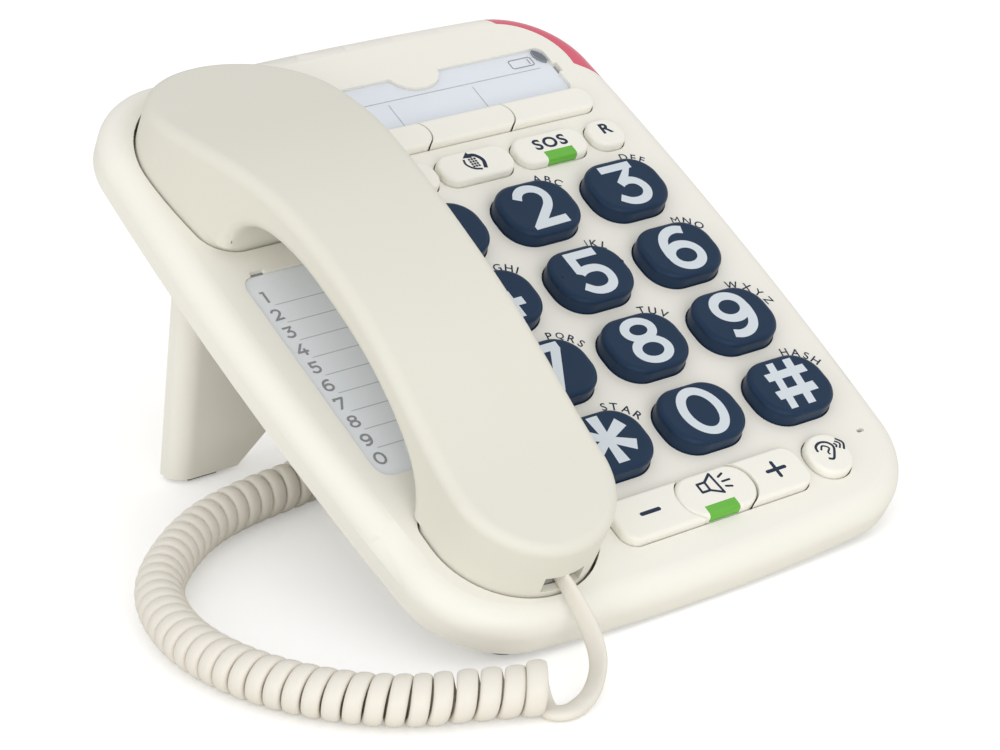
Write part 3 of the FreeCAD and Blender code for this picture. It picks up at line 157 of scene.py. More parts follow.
looks = {
    # ivory ABS of the case, from a finely eroded tool: satin and warm white
    "ivoryAbs": {"colour": "#F0EEE5", "shade": "#EEEBE2", "cloud": 60.0, "grain": 0.35,
                 "depth": 0.02, "bump": 0.3, "rough": 0.45, "specular": 0.3},
    # ivory ABS of the small keys: a little lighter and smoother than the case
    "keyAbs": {"colour": "#F1EFE6", "shade": "#EFEDE3", "cloud": 20.0, "grain": 0.3,
               "depth": 0.02, "bump": 0.25, "rough": 0.4, "specular": 0.3},
    # ivory ABS of the handset: a shade darker than the case
    "handsetAbs": {"colour": "#E1DFD3", "shade": "#DEDCD0", "cloud": 60.0, "grain": 0.35,
                   "depth": 0.02, "bump": 0.3, "rough": 0.45, "specular": 0.3},
    # navy ABS of the large keys, from an eroded tool: dark blue with a weak, wide gloss
    "navyKeyAbs": {"colour": "#22364F", "shade": "#1E3149", "cloud": 12.0, "grain": 0.3,
                   "depth": 0.02, "bump": 0.3, "rough": 0.34, "specular": 0.14},
    # drawn PVC of the cord: a greyer ivory than the case, with a dull gloss
    "cordPvc": {"colour": "#E8E3D9", "shade": "#E2DDD2", "cloud": 25.0, "grain": 0.5,
                "depth": 0.02, "bump": 0.2, "rough": 0.42, "specular": 0.35},
    # moulded black rubber of the feet: dull and a little rough
    "footRubber": {"colour": "#1B1B1B", "shade": "#222222", "cloud": 6.0, "grain": 0.3,
                   "depth": 0.03, "bump": 0.5, "rough": 0.75},
    # grey silicone rubber of the key mat: soft and dull
    "matRubber": {"colour": "#8D9095", "shade": "#85888D", "cloud": 10.0, "grain": 0.4,
                  "depth": 0.02, "bump": 0.3, "rough": 0.6},
    # red acrylic of the ring light, from a polished tool: an even colour with a clear gloss
    "redLens": {"colour": "#DC5F74", "shade": "#D4566C", "cloud": 20.0, "grain": 0.4,
                "depth": 0.01, "bump": 0.1, "rough": 0.18},
    # green acrylic of the key lights, from a polished tool: a clear gloss
    "greenLens": {"colour": "#66B838", "shade": "#5EAE32", "cloud": 6.0, "grain": 0.3,
                  "depth": 0.01, "bump": 0.1, "rough": 0.22},
    # smoked acrylic over the low-battery light: grey and glossy
    "smokedLens": {"colour": "#6E747E", "shade": "#666C76", "cloud": 4.0, "grain": 0.2,
                   "depth": 0.01, "bump": 0.1, "rough": 0.2},
    # black ABS of the jacks and capsules: deep and even
    "blackAbs": {"colour": "#141414", "shade": "#191919", "cloud": 8.0, "grain": 0.3,
                 "depth": 0.02, "bump": 0.4, "rough": 0.5},
    # solder mask on the circuit boards: dark green with some gloss
    "boardGreen": {"colour": "#1E5B33", "shade": "#1A522D", "cloud": 5.0, "grain": 0.5,
                   "depth": 0.02, "bump": 0.3, "rough": 0.35},
    # natural nylon of the jacks: off-white with a waxy sheen
    "jackNylon": {"colour": "#D8D6CE", "shade": "#D1CFC6", "cloud": 8.0, "grain": 0.3,
                  "depth": 0.02, "bump": 0.3, "rough": 0.4},
    # printed film round the cells: dark and glossy
    "cellFilm": {"colour": "#3A404B", "shade": "#343A44", "cloud": 12.0, "grain": 0.4,
                 "depth": 0.01, "bump": 0.1, "rough": 0.3},
    # coated paper of the label: a cool white with a faint fibre cloud
    "labelPaper": {"colour": "#EAEFF6", "shade": "#E7ECF3", "cloud": 1.2, "grain": 0.15,
                   "depth": 0.01, "bump": 0.15, "rough": 0.7, "specular": 0.2},
    # coated paper of the index card: a cool white with a faint fibre cloud
    "indexPaper": {"colour": "#F9FCFF", "shade": "#F5F9FD", "cloud": 1.2, "grain": 0.15,
                   "depth": 0.01, "bump": 0.15, "rough": 0.7, "specular": 0.2},
    # clear polycarbonate sheet of the covers: hardly seen but for its gloss
    "clearSheet": {"colour": "#EDF0F4", "shade": "#EAEDF1", "cloud": 30.0, "grain": 0.6,
                   "depth": 0.005, "bump": 0.05, "rough": 0.12, "alpha": 0.1},
    # clear polycarbonate of the plugs: light grey in its depth
    "clearPlug": {"colour": "#D9DCDC", "shade": "#D2D6D6", "cloud": 5.0, "grain": 0.6,
                  "depth": 0.005, "bump": 0.05, "rough": 0.1, "alpha": 0.45},
    # drawn steel of the screws and the spring: bright, with fine marks
    "springSteel": {"colour": "#B9BABB", "shade": "#AEB0B2", "cloud": 4.0, "grain": 0.2,
                    "depth": 0.01, "bump": 0.2, "rough": 0.28, "metal": 1.0},
    # pad-printed ink of the digits: pale, flat and a little rough
    "digitInk": {"colour": "#D3DBE1", "shade": "#CFD8DE", "cloud": 8.0, "grain": 0.25,
                 "depth": 0.01, "bump": 0.15, "rough": 0.5, "specular": 0.25},
    # pad-printed ink of the signs and letters: navy and flat
    "navyInk": {"colour": "#22304A", "shade": "#1F2D42", "cloud": 6.0, "grain": 0.25,
                "depth": 0.01, "bump": 0.1, "rough": 0.5, "specular": 0.2},
    # printing ink of the papers' numerals: grey and flat; the same grey is the painted shade at the bottom of
    # the two narrow slots
    "greyInkAndPaintedShade": {"colour": "#85848A", "shade": "#807F85", "cloud": 4.0, "grain": 0.25,
                "depth": 0.01, "bump": 0.1, "rough": 0.5, "specular": 0.2},
    # printing ink of the papers' lines: pale grey and flat
    "lineInk": {"colour": "#9B9FA6", "shade": "#969AA1", "cloud": 4.0, "grain": 0.25,
                "depth": 0.01, "bump": 0.1, "rough": 0.5, "specular": 0.2},
}


# Cords

cord = {
    "width": 5.0,
    "thickness": 3.3,
    "corner": 2.5,  # how square the section is: 2 is an ellipse
    "sides": 20,
    "coilOuter": 14.4,
    "coilHeight": 7.25,
    "clearance": 0.05,  # the coil stays this far inside its outer size
    "steps": 40,  # points in a curl
    "leftOut": 0.5,  # the part of the last curl that is missing, so that the wire leaves it at its foot
    "swell": 1.0,  # how much the last curl stands above the others
    "openCurls": 5.0,  # the last curls lie open and show the wire's full width
    "opening": 3.0,  # the width is full after one part in three of them
    "spacing": 0.7,  # between the points of the finished wire
    "smooth": 1.1,  # how far along the wire its line is evened out
    # how far along the route, out of its whole length, how many curls are passed
    "curlPlaces": ((0.0, 21.0, 99.6, 149.5, 201.2, 206.1, 230.8, 234.9),
                   (0.0, 4.1, 19.1, 29.1, 39.1, 40.1, 44.1, 45.0)),
}
# the turn at the last curl's foot: its radius, its three runs as shares of it, and how far it goes forward
tail = {"radius": 4.4, "down": 0.75, "across": 1.4, "out": 0.9, "forward": 1.6}
lead = {
    "width": 5.6,
    "thickness": 2.2,
    "points": 90,
    "overlap": 1.2,  # how far the lead reaches back into the curly cord's end
    "thins": 0.3,  # the share of the lead in which the thickness goes over to its own
    "stillPoints": (12, 6),  # counts of points at the desk and at the handset
}
# the routes are measured from the case's own middle, and the curly cord's runs level, just above the desk
coilRoute = [(-42.0, 49.0), (-57.6, 45.4), (-73.1, 44.0), (-93.7, 38.6), (-111.1, 26.5), (-126.3, 11.1),
             (-133.9, -6.5), (-136.7, -26.3), (-132.9, -47.9), (-122.6, -68.4), (-108.3, -83.2),
             (-92.1, -90.3), (-75.8, -98.9)]
leadHeading = (0.906, 0.423, 0.0)
baseLeadRoute = [(-16.0, 65.3, 42.4), (-16.8, 64.5, 30.5), (-19.8, 60.7, 20.5), (-26.4, 57.2, 12.75)]
handsetLeadRoute = [(-63.3, -101.8, 2.6), (-56.3, -96.2, 4.4), (-52.8, -91.8, 7.2), (-51.0, -85.9, 11.9),
                    (-50.6, -75.93, 19.93)]
# where the wire leaves the plugs, measured on the face
baseExit = toWorld([(-16.0, 52.0, -32.0)])[0]
handsetExit = toWorld([(-50.6, -78.3, 4.6)])[0]


def splinePoints(points):
    # the route's smooth curve: a NURBS spline of order 3 whose control points are the route's
    data = bpy.data.curves.new("routeCurve", "CURVE")
    data.dimensions = "3D"
    data.resolution_u = 24
    spline = data.splines.new("NURBS")
    spline.points.add(len(points) - 1)
    for point, place in zip(spline.points, points):
        point.co = (*place, 1.0)
    spline.order_u = 3
    spline.use_endpoint_u = True
    curve = bpy.data.objects.new("routeCurve", data)
    bpy.context.scene.collection.objects.link(curve)
    bpy.context.view_layer.update()
    mesh = bpy.data.meshes.new_from_object(curve.evaluated_get(bpy.context.evaluated_depsgraph_get()))
    places = np.empty(len(mesh.vertices) * 3)
    mesh.vertices.foreach_get("co", places)
    bpy.data.objects.remove(curve)
    bpy.data.meshes.remove(mesh)
    return places.reshape(-1, 3)


def evenly(points, count):
    # the same line with points an equal distance apart
    steps = np.linalg.norm(np.diff(points, axis=0), axis=1)
    along = np.concatenate([[0.0], np.cumsum(steps)])
    places = np.linspace(0.0, along[-1], count)
    return np.stack([np.interp(places, along, points[:, axis]) for axis in range(3)], axis=1)


def lineLength(points):
    return float(np.linalg.norm(np.diff(points, axis=0), axis=1).sum())


def directions(points):
    ways = np.gradient(points, axis=0)
    return ways / np.linalg.norm(ways, axis=1, keepdims=True)


def unitRows(rows):
    return rows / np.linalg.norm(rows, axis=1, keepdims=True)


def ribbonMesh(name, path, flatSide, width, thickness):
    # section: a rounded rectangle, cos and sin to the power 2/corner; it is carried along the path with its
    # thickness along flatSide and its width square to both, and closed by a face at each end
    ways = directions(path)
    flatSide = unitRows(flatSide - ways * np.sum(flatSide * ways, axis=1, keepdims=True))
    across = np.cross(ways, flatSide)
    turn = np.linspace(0.0, 2 * math.pi, cord["sides"], endpoint=False)
    power = 2.0 / cord["corner"]
    a = (np.sign(np.cos(turn)) * np.abs(np.cos(turn)) ** power)[None, :] * width / 2
    b = (np.sign(np.sin(turn)) * np.abs(np.sin(turn)) ** power)[None, :] * thickness / 2
    rings = path[:, None, :] + across[:, None, :] * a[..., None] + flatSide[:, None, :] * b[..., None]
    return gridMesh(name, rings, closedAround=True, capped=True)


def gridMesh(name, rings, closedAround=False, capped=False):
    # quads between the rows of a grid of points; the columns may close round, and the end rows may get a face
    rows, columns = rings.shape[:2]
    count = columns if closedAround else columns - 1
    row = np.arange(rows - 1)[:, None]
    column = np.arange(count)[None, :]
    after = (column + 1) % columns
    quads = np.stack([row * columns + column, row * columns + after, (row + 1) * columns + after,
                      (row + 1) * columns + column], axis=-1).reshape(-1, 4)
    faces = quads.tolist()
    if capped:
        faces.append(list(range(columns))[::-1])
        faces.append(list(range((rows - 1) * columns, rows * columns)))
    mesh = bpy.data.meshes.new(name)
    mesh.from_pydata(rings.reshape(-1, 3).tolist(), [], faces)
    mesh.polygons.foreach_set("use_smooth", np.arange(len(faces)) < len(quads))  # the end faces stay flat
    mesh.update()
    piece = bpy.data.objects.new(name, mesh)
    bpy.context.scene.collection.objects.link(piece)
    return piece


def evenedOut(rows, reach):
    # each row becomes the mean of its neighbours, weighted by a bell curve reach rows wide; the end rows stay
    side = 3 * reach
    window = np.exp(-0.5 * (np.arange(-side, side + 1) / reach) ** 2)
    window /= window.sum()
    before, after = 2 * rows[0] - rows[side:0:-1], 2 * rows[-1] - rows[-2:-side - 2:-1]
    padded = np.concatenate([before, rows, after])
    return np.stack([np.convolve(padded[:, axis], window, mode="valid") for axis in range(3)], axis=1)


def coilPath():
    # helix round the route: middle line plus radius times (up cos a + side sin a), with a turn for each curl
    middle = splinePoints([(x, y, cord["coilHeight"]) for x, y in coilRoute])
    places, passed = np.array(cord["curlPlaces"])
    curls = passed[-1]
    middle = evenly(middle, int(curls) * cord["steps"] + 1)
    share = np.linspace(0.0, places[-1], len(middle))
    forward = directions(middle)
    up = np.tile([0.0, 0.0, 1.0], (len(middle), 1))
    side = np.cross(up, forward)
    turns = np.interp(share, places, passed) / curls * (curls - cord["leftOut"])
    angle = 2 * math.pi * turns[:, None]
    out = up * np.cos(angle) + side * np.sin(angle)
    # the last curl is larger at its top: radius plus swell times sin squared of the half turn
    last = np.clip(turns - turns[-1] + 1, 0.0, 1.0)[:, None]
    radius = (cord["coilOuter"] - cord["thickness"]) / 2 - cord["clearance"]
    radius = radius + cord["swell"] * np.sin(math.pi * last) ** 2
    opened = np.clip((turns - turns[-1]) / cord["openCurls"] + 1, 0.0, 1.0)
    wide = cord["width"] + (lead["width"] - cord["width"]) * np.clip(cord["opening"] * opened, 0.0, 1.0)
    return middle + out * radius, out, forward, side, wide


def coilWire():
    # the wire from the base to the handset lead: in along the base lead's route, round the helix, and out by
    # a turn at its foot
    helix, out, forward, side, wide = coilPath()
    radius = tail["radius"]
    heading = np.array(leadHeading)
    corner = helix[0] - side[0] * radius
    start = baseExit / mm - baseShift
    leadIn = splinePoints([start, *baseLeadRoute, corner - forward[0] * 2 * radius, corner, helix[0]])
    leave = -side[-1]
    halfWay = unitRows((leave + forward[-1] * tail["forward"] + heading)[None])[0]
    first = helix[-1] + leave * radius * tail["down"]
    second = first + halfWay * radius * tail["across"]
    tip = second + heading * radius * tail["out"]
    leadOut = splinePoints([helix[-1], first, second, tip])
    path = np.concatenate([leadIn[:-1], helix, leadOut[1:]])
    faces = np.concatenate([np.tile([0.0, 0.0, 1.0], (len(leadIn) - 1, 1)), out,
                            np.tile([0.0, 0.0, -1.0], (len(leadOut) - 1, 1))])
    wide = np.concatenate([np.full(len(leadIn) - 1, wide[0]), wide, np.full(len(leadOut) - 1, wide[-1])])
    # its points are put an equal distance apart, and its line and its section's turn are evened out
    steps = np.concatenate([[0.0], np.cumsum(np.linalg.norm(np.diff(path, axis=0), axis=1))])
    places = np.linspace(0.0, steps[-1], int(steps[-1] / cord["spacing"]))
    path = np.stack([np.interp(places, steps, path[:, axis]) for axis in range(3)], axis=1)
    faces = np.stack([np.interp(places, steps, faces[:, axis]) for axis in range(3)], axis=1)
    reach = max(1, round(cord["smooth"] / cord["spacing"]))
    path = (evenedOut(path, reach) + baseShift) * mm
    return path, evenedOut(faces, 2 * reach), np.interp(places, steps, wide)[:, None], tip


def makeCurlyCord(material):
    path, faces, wide, tip = coilWire()
    coil = ribbonMesh("curlyCord", path, faces, wide * mm, cord["thickness"] * mm)
    coil.data.materials.append(material)
    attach(coil, "base")
    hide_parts("cord_coil", "base_lead")
    print("curly cord:", round(lineLength(path) / mm), "mm of wire")
    return tip


def makeHandsetLead(tip, material):
    start = tip - np.array(leadHeading) * lead["overlap"]
    line = splinePoints([start, tip, *handsetLeadRoute, handsetExit / mm - baseShift])
    line = (evenly(line, lead["points"]) + baseShift) * mm
    # the flat wire lies flat at the coil and turns a quarter on its way up to the handset
    twist = np.linspace(0.0, 1.0, len(line))[:, None] * 0.5 * math.pi
    ways = directions(line)
    down = unitRows(np.array([[0.0, 0.0, -1.0]]) + ways * ways[:, 2:3])
    flat = down * np.cos(twist) - np.cross(ways, down) * np.sin(twist)
    # the thickness goes over from the coil's to the lead's by the smooth step 3 t squared minus 2 t cubed
    grows = np.clip(np.linspace(0.0, 1.0, len(line)) / lead["thins"], 0.0, 1.0)[:, None]
    grows = grows * grows * (3 - 2 * grows)
    thick = cord["thickness"] + (lead["thickness"] - cord["thickness"]) * grows
    ribbon = ribbonMesh("handsetLead", line, flat, lead["width"] * mm, thick * mm)
    ribbon.data.materials.append(material)
    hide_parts("handset_lead")
    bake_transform(ribbon)
    print("handset lead:", round(lineLength(line) / mm), "mm")


# Printed signs

prints = {
    "lift": 0.03,  # above what carries them
    "step": 0.003,  # between strokes that cross
    "layers": 12,  # so many strokes lie one above the other before the count starts again
    "curveSteps": 9,  # points on a span of a smooth line
    "tipPoints": 9,  # points on a round end
    "letterGap": 0.13,  # between the letters of a word, out of their height
    "weight": 0.012,  # how much bolder the type is made
    "wordWeight": 0.03,
    "thinOnly": "M",  # a bolder M of this type fills up
}
# how high out of the face lie the tops of the digit keys and small keys, the papers and the slots' painted
# shade
level = {
    "digit": 5.3,
    "ivory": 2.8,
    "face": 0.0,
    "paper": -1.25,
    "card": -0.95,
    "cardSlot": -1.2,
    "prySlot": -1.8,
}
keyColumns = (-8.8, 25.4, 59.6)
keyRows = (43.5, 14.5, -14.5, -43.5)
faceMiddle = (0.0, 0.0)


def smoothLine(points):
    # Catmull-Rom curve: each span a cubic whose slope at a point is half the chord between its neighbours
    p = np.asarray(points, float)
    p = np.vstack([2 * p[0] - p[1], p, 2 * p[-1] - p[-2]])
    a, b, c, d = p[:-3], p[1:-2], p[2:-1], p[3:]
    t = np.linspace(0.0, 1.0, prints["curveSteps"])[:-1][:, None, None]
    square, cube = 2 * a - 5 * b + 4 * c - d, 3 * b - a - 3 * c + d
    spans = 0.5 * (2 * b + (c - a) * t + square * t ** 2 + cube * t ** 3)
    return np.vstack([spans.transpose(1, 0, 2).reshape(-1, 2), p[-2]])


def band(width, points):
    # a stroke: the smooth line moved half a width to its left and to its right
    line = smoothLine(points)
    way = np.gradient(line, axis=0)
    normal = np.stack([-way[:, 1], way[:, 0]], axis=1)
    normal /= np.linalg.norm(normal, axis=1, keepdims=True)
    count = len(line)
    i = np.arange(count - 1)
    faces = np.stack([i + count, i + count + 1, i + 1, i], axis=1)
    return np.vstack([line + normal * width / 2, line - normal * width / 2]), faces.tolist()


def ring(centre, outer, inner, count=48):
    # the strip between two ellipses about one centre
    turn = np.linspace(0.0, 2 * math.pi, count, endpoint=False)
    circle = np.stack([np.cos(turn), np.sin(turn)], axis=1)
    i = np.arange(count)
    after = (i + 1) % count
    faces = np.stack([i + count, i, after, after + count], axis=1)
    return np.vstack([centre + circle * outer, centre + circle * inner]), faces.tolist()


def outline(*points):
    # one flat face through the points, turned so that it faces out of the print
    points = np.asarray(points, float)
    x, y = points.T
    if np.sum(x * np.roll(y, -1) - y * np.roll(x, -1)) < 0:
        points = points[::-1]
    return points, [list(range(len(points)))]


def bar(x0, x1, y0, y1):
    return outline((x0, y0), (x1, y0), (x1, y1), (x0, y1))


def square(x, y, half):
    return bar(x - half, x + half, y - half, y + half)


def strokes(width, *points):
    # a pen with a round tip drawn from point to point: one long round-ended shape for each run
    shapes = []
    for start, end in zip(points, points[1:]):
        start, end = np.array(start, float), np.array(end, float)
        way = math.atan2(*(end - start)[::-1])
        turn = np.linspace(-math.pi / 2, math.pi / 2, prints["tipPoints"]) + way
        tip = np.stack([np.cos(turn), np.sin(turn)], axis=1) * width / 2
        shapes.append(outline(*(end + tip), *(start - tip)))
    return shapes


def turned(shape, angle=180.0, scale=(1.0, 1.0), shift=(0.0, 0.0)):
    # the shape scaled, turned about its middle and moved
    points, faces = shape
    c, s = math.cos(math.radians(angle)), math.sin(math.radians(angle))
    return (points * scale) @ np.array([[c, s], [-s, c]]) + shift, faces


glyphs = {}


def glyph(character, weight=prints["weight"]):
    # one flat character of the plain built-in type: its points and faces, with capitals one unit high
    weight = 0.0 if character in prints["thinOnly"] else weight
    key = (character, weight)
    if key not in glyphs:
        data = bpy.data.curves.new("glyph", "FONT")
        data.body = character
        data.resolution_u = 6
        data.offset = weight
        text = bpy.data.objects.new("glyph", data)
        bpy.context.scene.collection.objects.link(text)
        bpy.context.view_layer.update()
        mesh = bpy.data.meshes.new_from_object(text.evaluated_get(bpy.context.evaluated_depsgraph_get()))
        points = np.empty(len(mesh.vertices) * 3)
        mesh.vertices.foreach_get("co", points)
        points = points.reshape(-1, 3)[:, :2]
        faces = [list(face.vertices) for face in mesh.polygons]
        bpy.data.objects.remove(text)
        bpy.data.meshes.remove(mesh)
        low, high = points.min(axis=0), points.max(axis=0)
        glyphs[key] = ((points - (low + high) / 2) / (high[1] - low[1]), faces)
    return glyphs[key]


def word(text, centre, height, width):
    # capitals side by side, stretched together to the wanted width
    weight = prints["wordWeight"]
    widths = [np.ptp(glyph(c, weight)[0][:, 0]) for c in text]
    gap = prints["letterGap"]
    whole = sum(widths) + gap * (len(text) - 1)
    places = np.cumsum([0.0] + [w + gap for w in widths[:-1]]) + np.array(widths) / 2 - whole / 2
    return [turned(glyph(c, weight), angle=0.0, scale=(width / whole, height),
                   shift=(place * width / whole + centre[0], centre[1])) for c, place in zip(text, places)]


def makePrint(name, shapes, height, at, material, body):
    # flat shapes on the plane w = height, each a little above the one before where strokes cross
    points, faces, start = [], [], 0
    for index, (flat, corners) in enumerate(shapes):
        rise = prints["lift"] + prints["step"] * (index % prints["layers"])
        points.append(np.hstack([flat + at, np.full((len(flat), 1), height + rise)]))
        faces += [[corner + start for corner in face] for face in corners]
        start += len(flat)
    mesh = bpy.data.meshes.new(name)
    mesh.from_pydata(toWorld(np.vstack(points)).tolist(), [], faces)
    mesh.update()
    mesh.materials.append(material)
    piece = bpy.data.objects.new(name, mesh)
    bpy.context.scene.collection.objects.link(piece)
    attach(piece, body)


# each digit is measured from the middle of its key
six = [band(3.1, [(5.1, 6.5), (2.5, 7.3), (-0.5, 6.9), (-3.1, 5.2), (-4.8, 2.3), (-5.3, -1.2), (-5.1, -3.0)]),
       ring((0.1, -3.1), (6.75, 6.0), (3.65, 2.9))]
digitShapes = {
    "1": [bar(-0.6, 2.6, -8.9, 8.8), bar(-3.4, -0.5, 6.0, 8.8)],
    "2": [band(3.0, [(-5.6, 3.9), (-4.4, 5.8), (-2.7, 7.0), (-0.6, 7.35), (1.6, 6.9), (3.3, 5.7), (4.2, 4.0),
                     (4.35, 2.6), (3.9, 1.1), (2.6, -0.9), (-0.8, -4.1), (-4.3, -7.3)]),
          outline((-6.6, -8.8), (6.4, -8.5), (6.3, -5.4), (-2.2, -5.7), (-5.3, -6.2), (-6.6, -7.4))],
    "3": [bar(-6.3, 5.6, 5.7, 8.5), outline((5.6, 7.0), (1.7, 2.1), (-2.0, -1.2), (-3.2, 1.3), (2.0, 5.7)),
          band(3.0, [(-1.9, 0.7), (0.3, 1.1), (2.6, 0.6), (4.2, -0.9), (4.9, -3.2), (4.2, -5.3), (2.4, -6.9),
                     (-0.3, -7.5), (-3.2, -6.9), (-5.9, -4.9)])],
    "4": [bar(-7.6, 6.7, -4.7, -1.8), bar(0.8, 3.9, -9.0, 1.2),
          outline((-7.6, -4.7), (-7.6, -2.4), (0.8, 8.8), (4.4, 8.8), (-3.6, -1.8))],
    "5": [bar(-5.3, 5.8, 5.9, 8.8), outline((-5.3, 0.6), (-3.3, -0.5), (-2.2, 0.9), (-2.2, 8.8), (-5.3, 8.8)),
          band(3.0, [(-4.0, 0.3), (-2.2, 1.2), (0.2, 1.5), (2.8, 1.0), (4.6, -0.6), (5.1, -2.8), (4.5, -5.1),
                     (2.6, -6.8), (-0.3, -7.4), (-3.1, -6.7), (-5.6, -4.6)])],
    "6": six,
    "7": [bar(-7.0, 6.4, 5.7, 8.6), bar(-7.0, -3.9, 4.0, 8.6),
          outline((2.8, 5.8), (6.3, 5.8), (-1.7, -8.8), (-5.0, -8.8))],
    "8": [ring((0.0, 4.25), (6.2, 4.75), (3.1, 2.05)), ring((0.0, -3.65), (6.85, 5.35), (3.7, 2.65))],
    "9": [turned(shape) for shape in six],
    "star": [turned(outline((-2.0, 8.7), (-1.15, 0.0), (1.15, 0.0), (2.0, 8.7)), angle=a, shift=(-0.4, 0.3))
             for a in range(0, 360, 60)],
    "0": [ring((0.1, 0.0), (7.65, 9.05), (4.5, 6.15))],
    "hash": [outline((-3.6, 8.6), (-0.9, 8.6), (-3.8, -8.6), (-6.5, -8.6)),
             outline((2.8, 8.6), (5.8, 8.6), (3.0, -8.6), (0.1, -8.6)),
             bar(-6.8, 8.2, 2.4, 5.3), bar(-7.6, 7.1, -4.6, -1.4)],
}
keyNames = ("1", "2", "3", "4", "5", "6", "7", "8", "9", "star", "0", "hash")
faceWords = {"2": "ABC", "3": "DEF", "4": "GHI", "5": "JKL", "6": "MNO", "7": "PQRS", "8": "TUV", "9": "WXYZ",
             "star": "STAR", "hash": "HASH"}
# a word follows an arc round its key, clockwise from start degrees; centre is measured from the key's middle
wordArc = {"centre": (8.5, 3.6), "radius": 11.1, "start": 85.6, "gap": 1.15, "height": 2.9}
# each sign is measured from the middle of the face's middle column of keys
signShapes = {
    "minus_key": strokes(1.3, (-39.2, -68.3), (-33.1, -68.3)),
    "speaker_key": strokes(0.8, (-14.1, -64.9), (-16.9, -64.9), (-16.9, -67.9), (-14.1, -67.9),
                           (-10.3, -69.9), (-11.0, -62.7), (-14.1, -64.9), (-14.1, -67.9))
    + strokes(0.7, (-8.9, -64.6), (-7.0, -63.8)) + strokes(0.7, (-8.6, -66.4), (-6.0, -66.4))
    + strokes(0.7, (-8.5, -68.2), (-6.6, -68.8)),
    "plus_key": strokes(1.2, (7.1, -68.15), (13.5, -68.15)) + strokes(1.2, (10.3, -65.6), (10.3, -70.7)),
    "amplify_key": [band(0.8, [(27.2, -67.2), (27.7, -65.4), (29.8, -64.4), (32.2, -65.0), (33.3, -67.0),
                               (31.8, -69.5), (30.4, -70.9), (28.9, -70.3)]),
                    band(0.6, [(28.6, -67.0), (30.0, -65.7), (31.6, -67.0), (30.3, -68.3), (30.5, -69.2)]),
                    band(0.7, [(35.7, -64.6), (37.2, -66.7), (36.0, -69.0)]),
                    band(0.6, [(34.9, -65.4), (36.0, -66.7), (34.9, -68.2)]),
                    band(0.6, [(34.0, -66.0), (34.6, -66.8), (34.0, -67.6)])],
    "redial_key": [outline((-10.2, 70.3), (-7.8, 72.4), (-6.9, 69.7)),
                   band(1.3, [(-8.0, 71.0), (-5.6, 70.4), (-4.1, 67.9), (-5.0, 64.7)]),
                   band(0.75, [(-10.3, 69.7), (-10.6, 67.6), (-9.0, 65.5), (-6.3, 64.6)])]
    + [square(x, y, 0.38) for x in (-8.5, -7.5, -6.5) for y in (69.2, 68.2, 67.2, 66.2)],
    "sos_key": word("SOS", (22.1, 68.65), 4.5, 12.4),
    "recall_key": word("R", (44.3, 68.85), 4.3, 4.0),
}
blindDots = {
    "places": {"Left": -10.0, "Right": 12.0},  # from the middle of the 5 key
    "up": 1.0,
    "radius": 0.7,
    "height": 0.4,
    "sunk": 0.01,
    "rings": 6,
    "innermost": 0.02,  # the smallest ring, out of the radius
    "sides": 20,
}
labelPrint = {
    "battery": ((58.9, 105.0), (58.9, 107.7), (59.4, 108.2), (66.9, 108.2), (67.5, 107.7), (67.5, 105.0),
                (66.9, 104.5), (59.4, 104.5), (58.9, 105.0)),
    "charge": ((66.1, 105.4), (66.1, 107.4)),
    "batteryWidth": 0.45,
    "lines": (((-16.8, 102.6), (68.2, 102.6)), ((8.4, 91.2), (8.4, 101.0)), ((40.4, 91.2), (40.4, 101.0))),
    "lineWidth": 0.28,
    "prySlot": (72.95, 74.25, 98.6, 102.4),  # the painted shade at the slot's bottom: its left, right, bottom and top
}
cardPrint = {
    "rows": ("1", "2", "3", "4", "5", "6", "7", "8", "9", "0"),
    "top": 40.6,
    "pitch": 7.07,
    "numeralPlace": -72.3,
    "numeralScale": 0.25,  # out of the size on the keys
    "line": (-70.8, -30.0),
    "lineBelow": 3.5,
    "lineWidth": 0.2,
    "slot": (-72.4, -67.8, 48.9, 49.8),  # the painted shade at the slot's bottom: its left, right, bottom and top
}


def arcWord(text, key):
    # the letters of a word one after the other along the arc, each turned to stand square to it
    letters = []
    turn = wordArc["start"]
    for character in text:
        width = np.ptp(glyph(character)[0][:, 0]) * wordArc["height"]
        half = math.degrees(width / 2 / wordArc["radius"])
        turn -= half
        reach = wordArc["radius"] * np.array([math.cos(math.radians(turn)), math.sin(math.radians(turn))])
        letters.append(turned(glyph(character), angle=turn - 90, scale=(wordArc["height"],) * 2,
                              shift=key + wordArc["centre"] + reach))
        turn -= half + math.degrees(wordArc["gap"] / wordArc["radius"])
    return letters


def makeKeyPrints(digitInk, navyInk):
    letters = []
    for index, name in enumerate(keyNames):
        key = np.array([keyColumns[index % 3], keyRows[index // 3]])
        makePrint("print_key_" + name, digitShapes[name], level["digit"], key, digitInk, "key_" + name)
        letters += arcWord(faceWords.get(name, ""), key)
    makePrint("faceLetters", letters, level["face"], faceMiddle, navyInk, "base")
    for name, shapes in signShapes.items():
        makePrint("print_" + name, shapes, level["ivory"], (keyColumns[1], 0.0), navyInk, name)


def makeBlindDots(material):
    # low domes: the height falls from the middle as one minus the square of the share of the radius
    look = blindDots
    share = np.linspace(look["innermost"], 1.0, look["rings"])[:, None]
    turn = np.linspace(0.0, 2 * math.pi, look["sides"], endpoint=False)[None, :]
    out = look["radius"] * share
    for name, x in look["places"].items():
        dome = np.stack([x + out * np.cos(turn), look["up"] + out * np.sin(turn),
                         look["height"] * (1 - share ** 2) + 0 * turn - look["sunk"]], axis=-1)
        place = [keyColumns[1], keyRows[1], level["digit"]]
        dot = gridMesh("keyDot" + name, toWorld(dome + place), closedAround=True)
        dot.data.materials.append(material)
        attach(dot, "key_5")


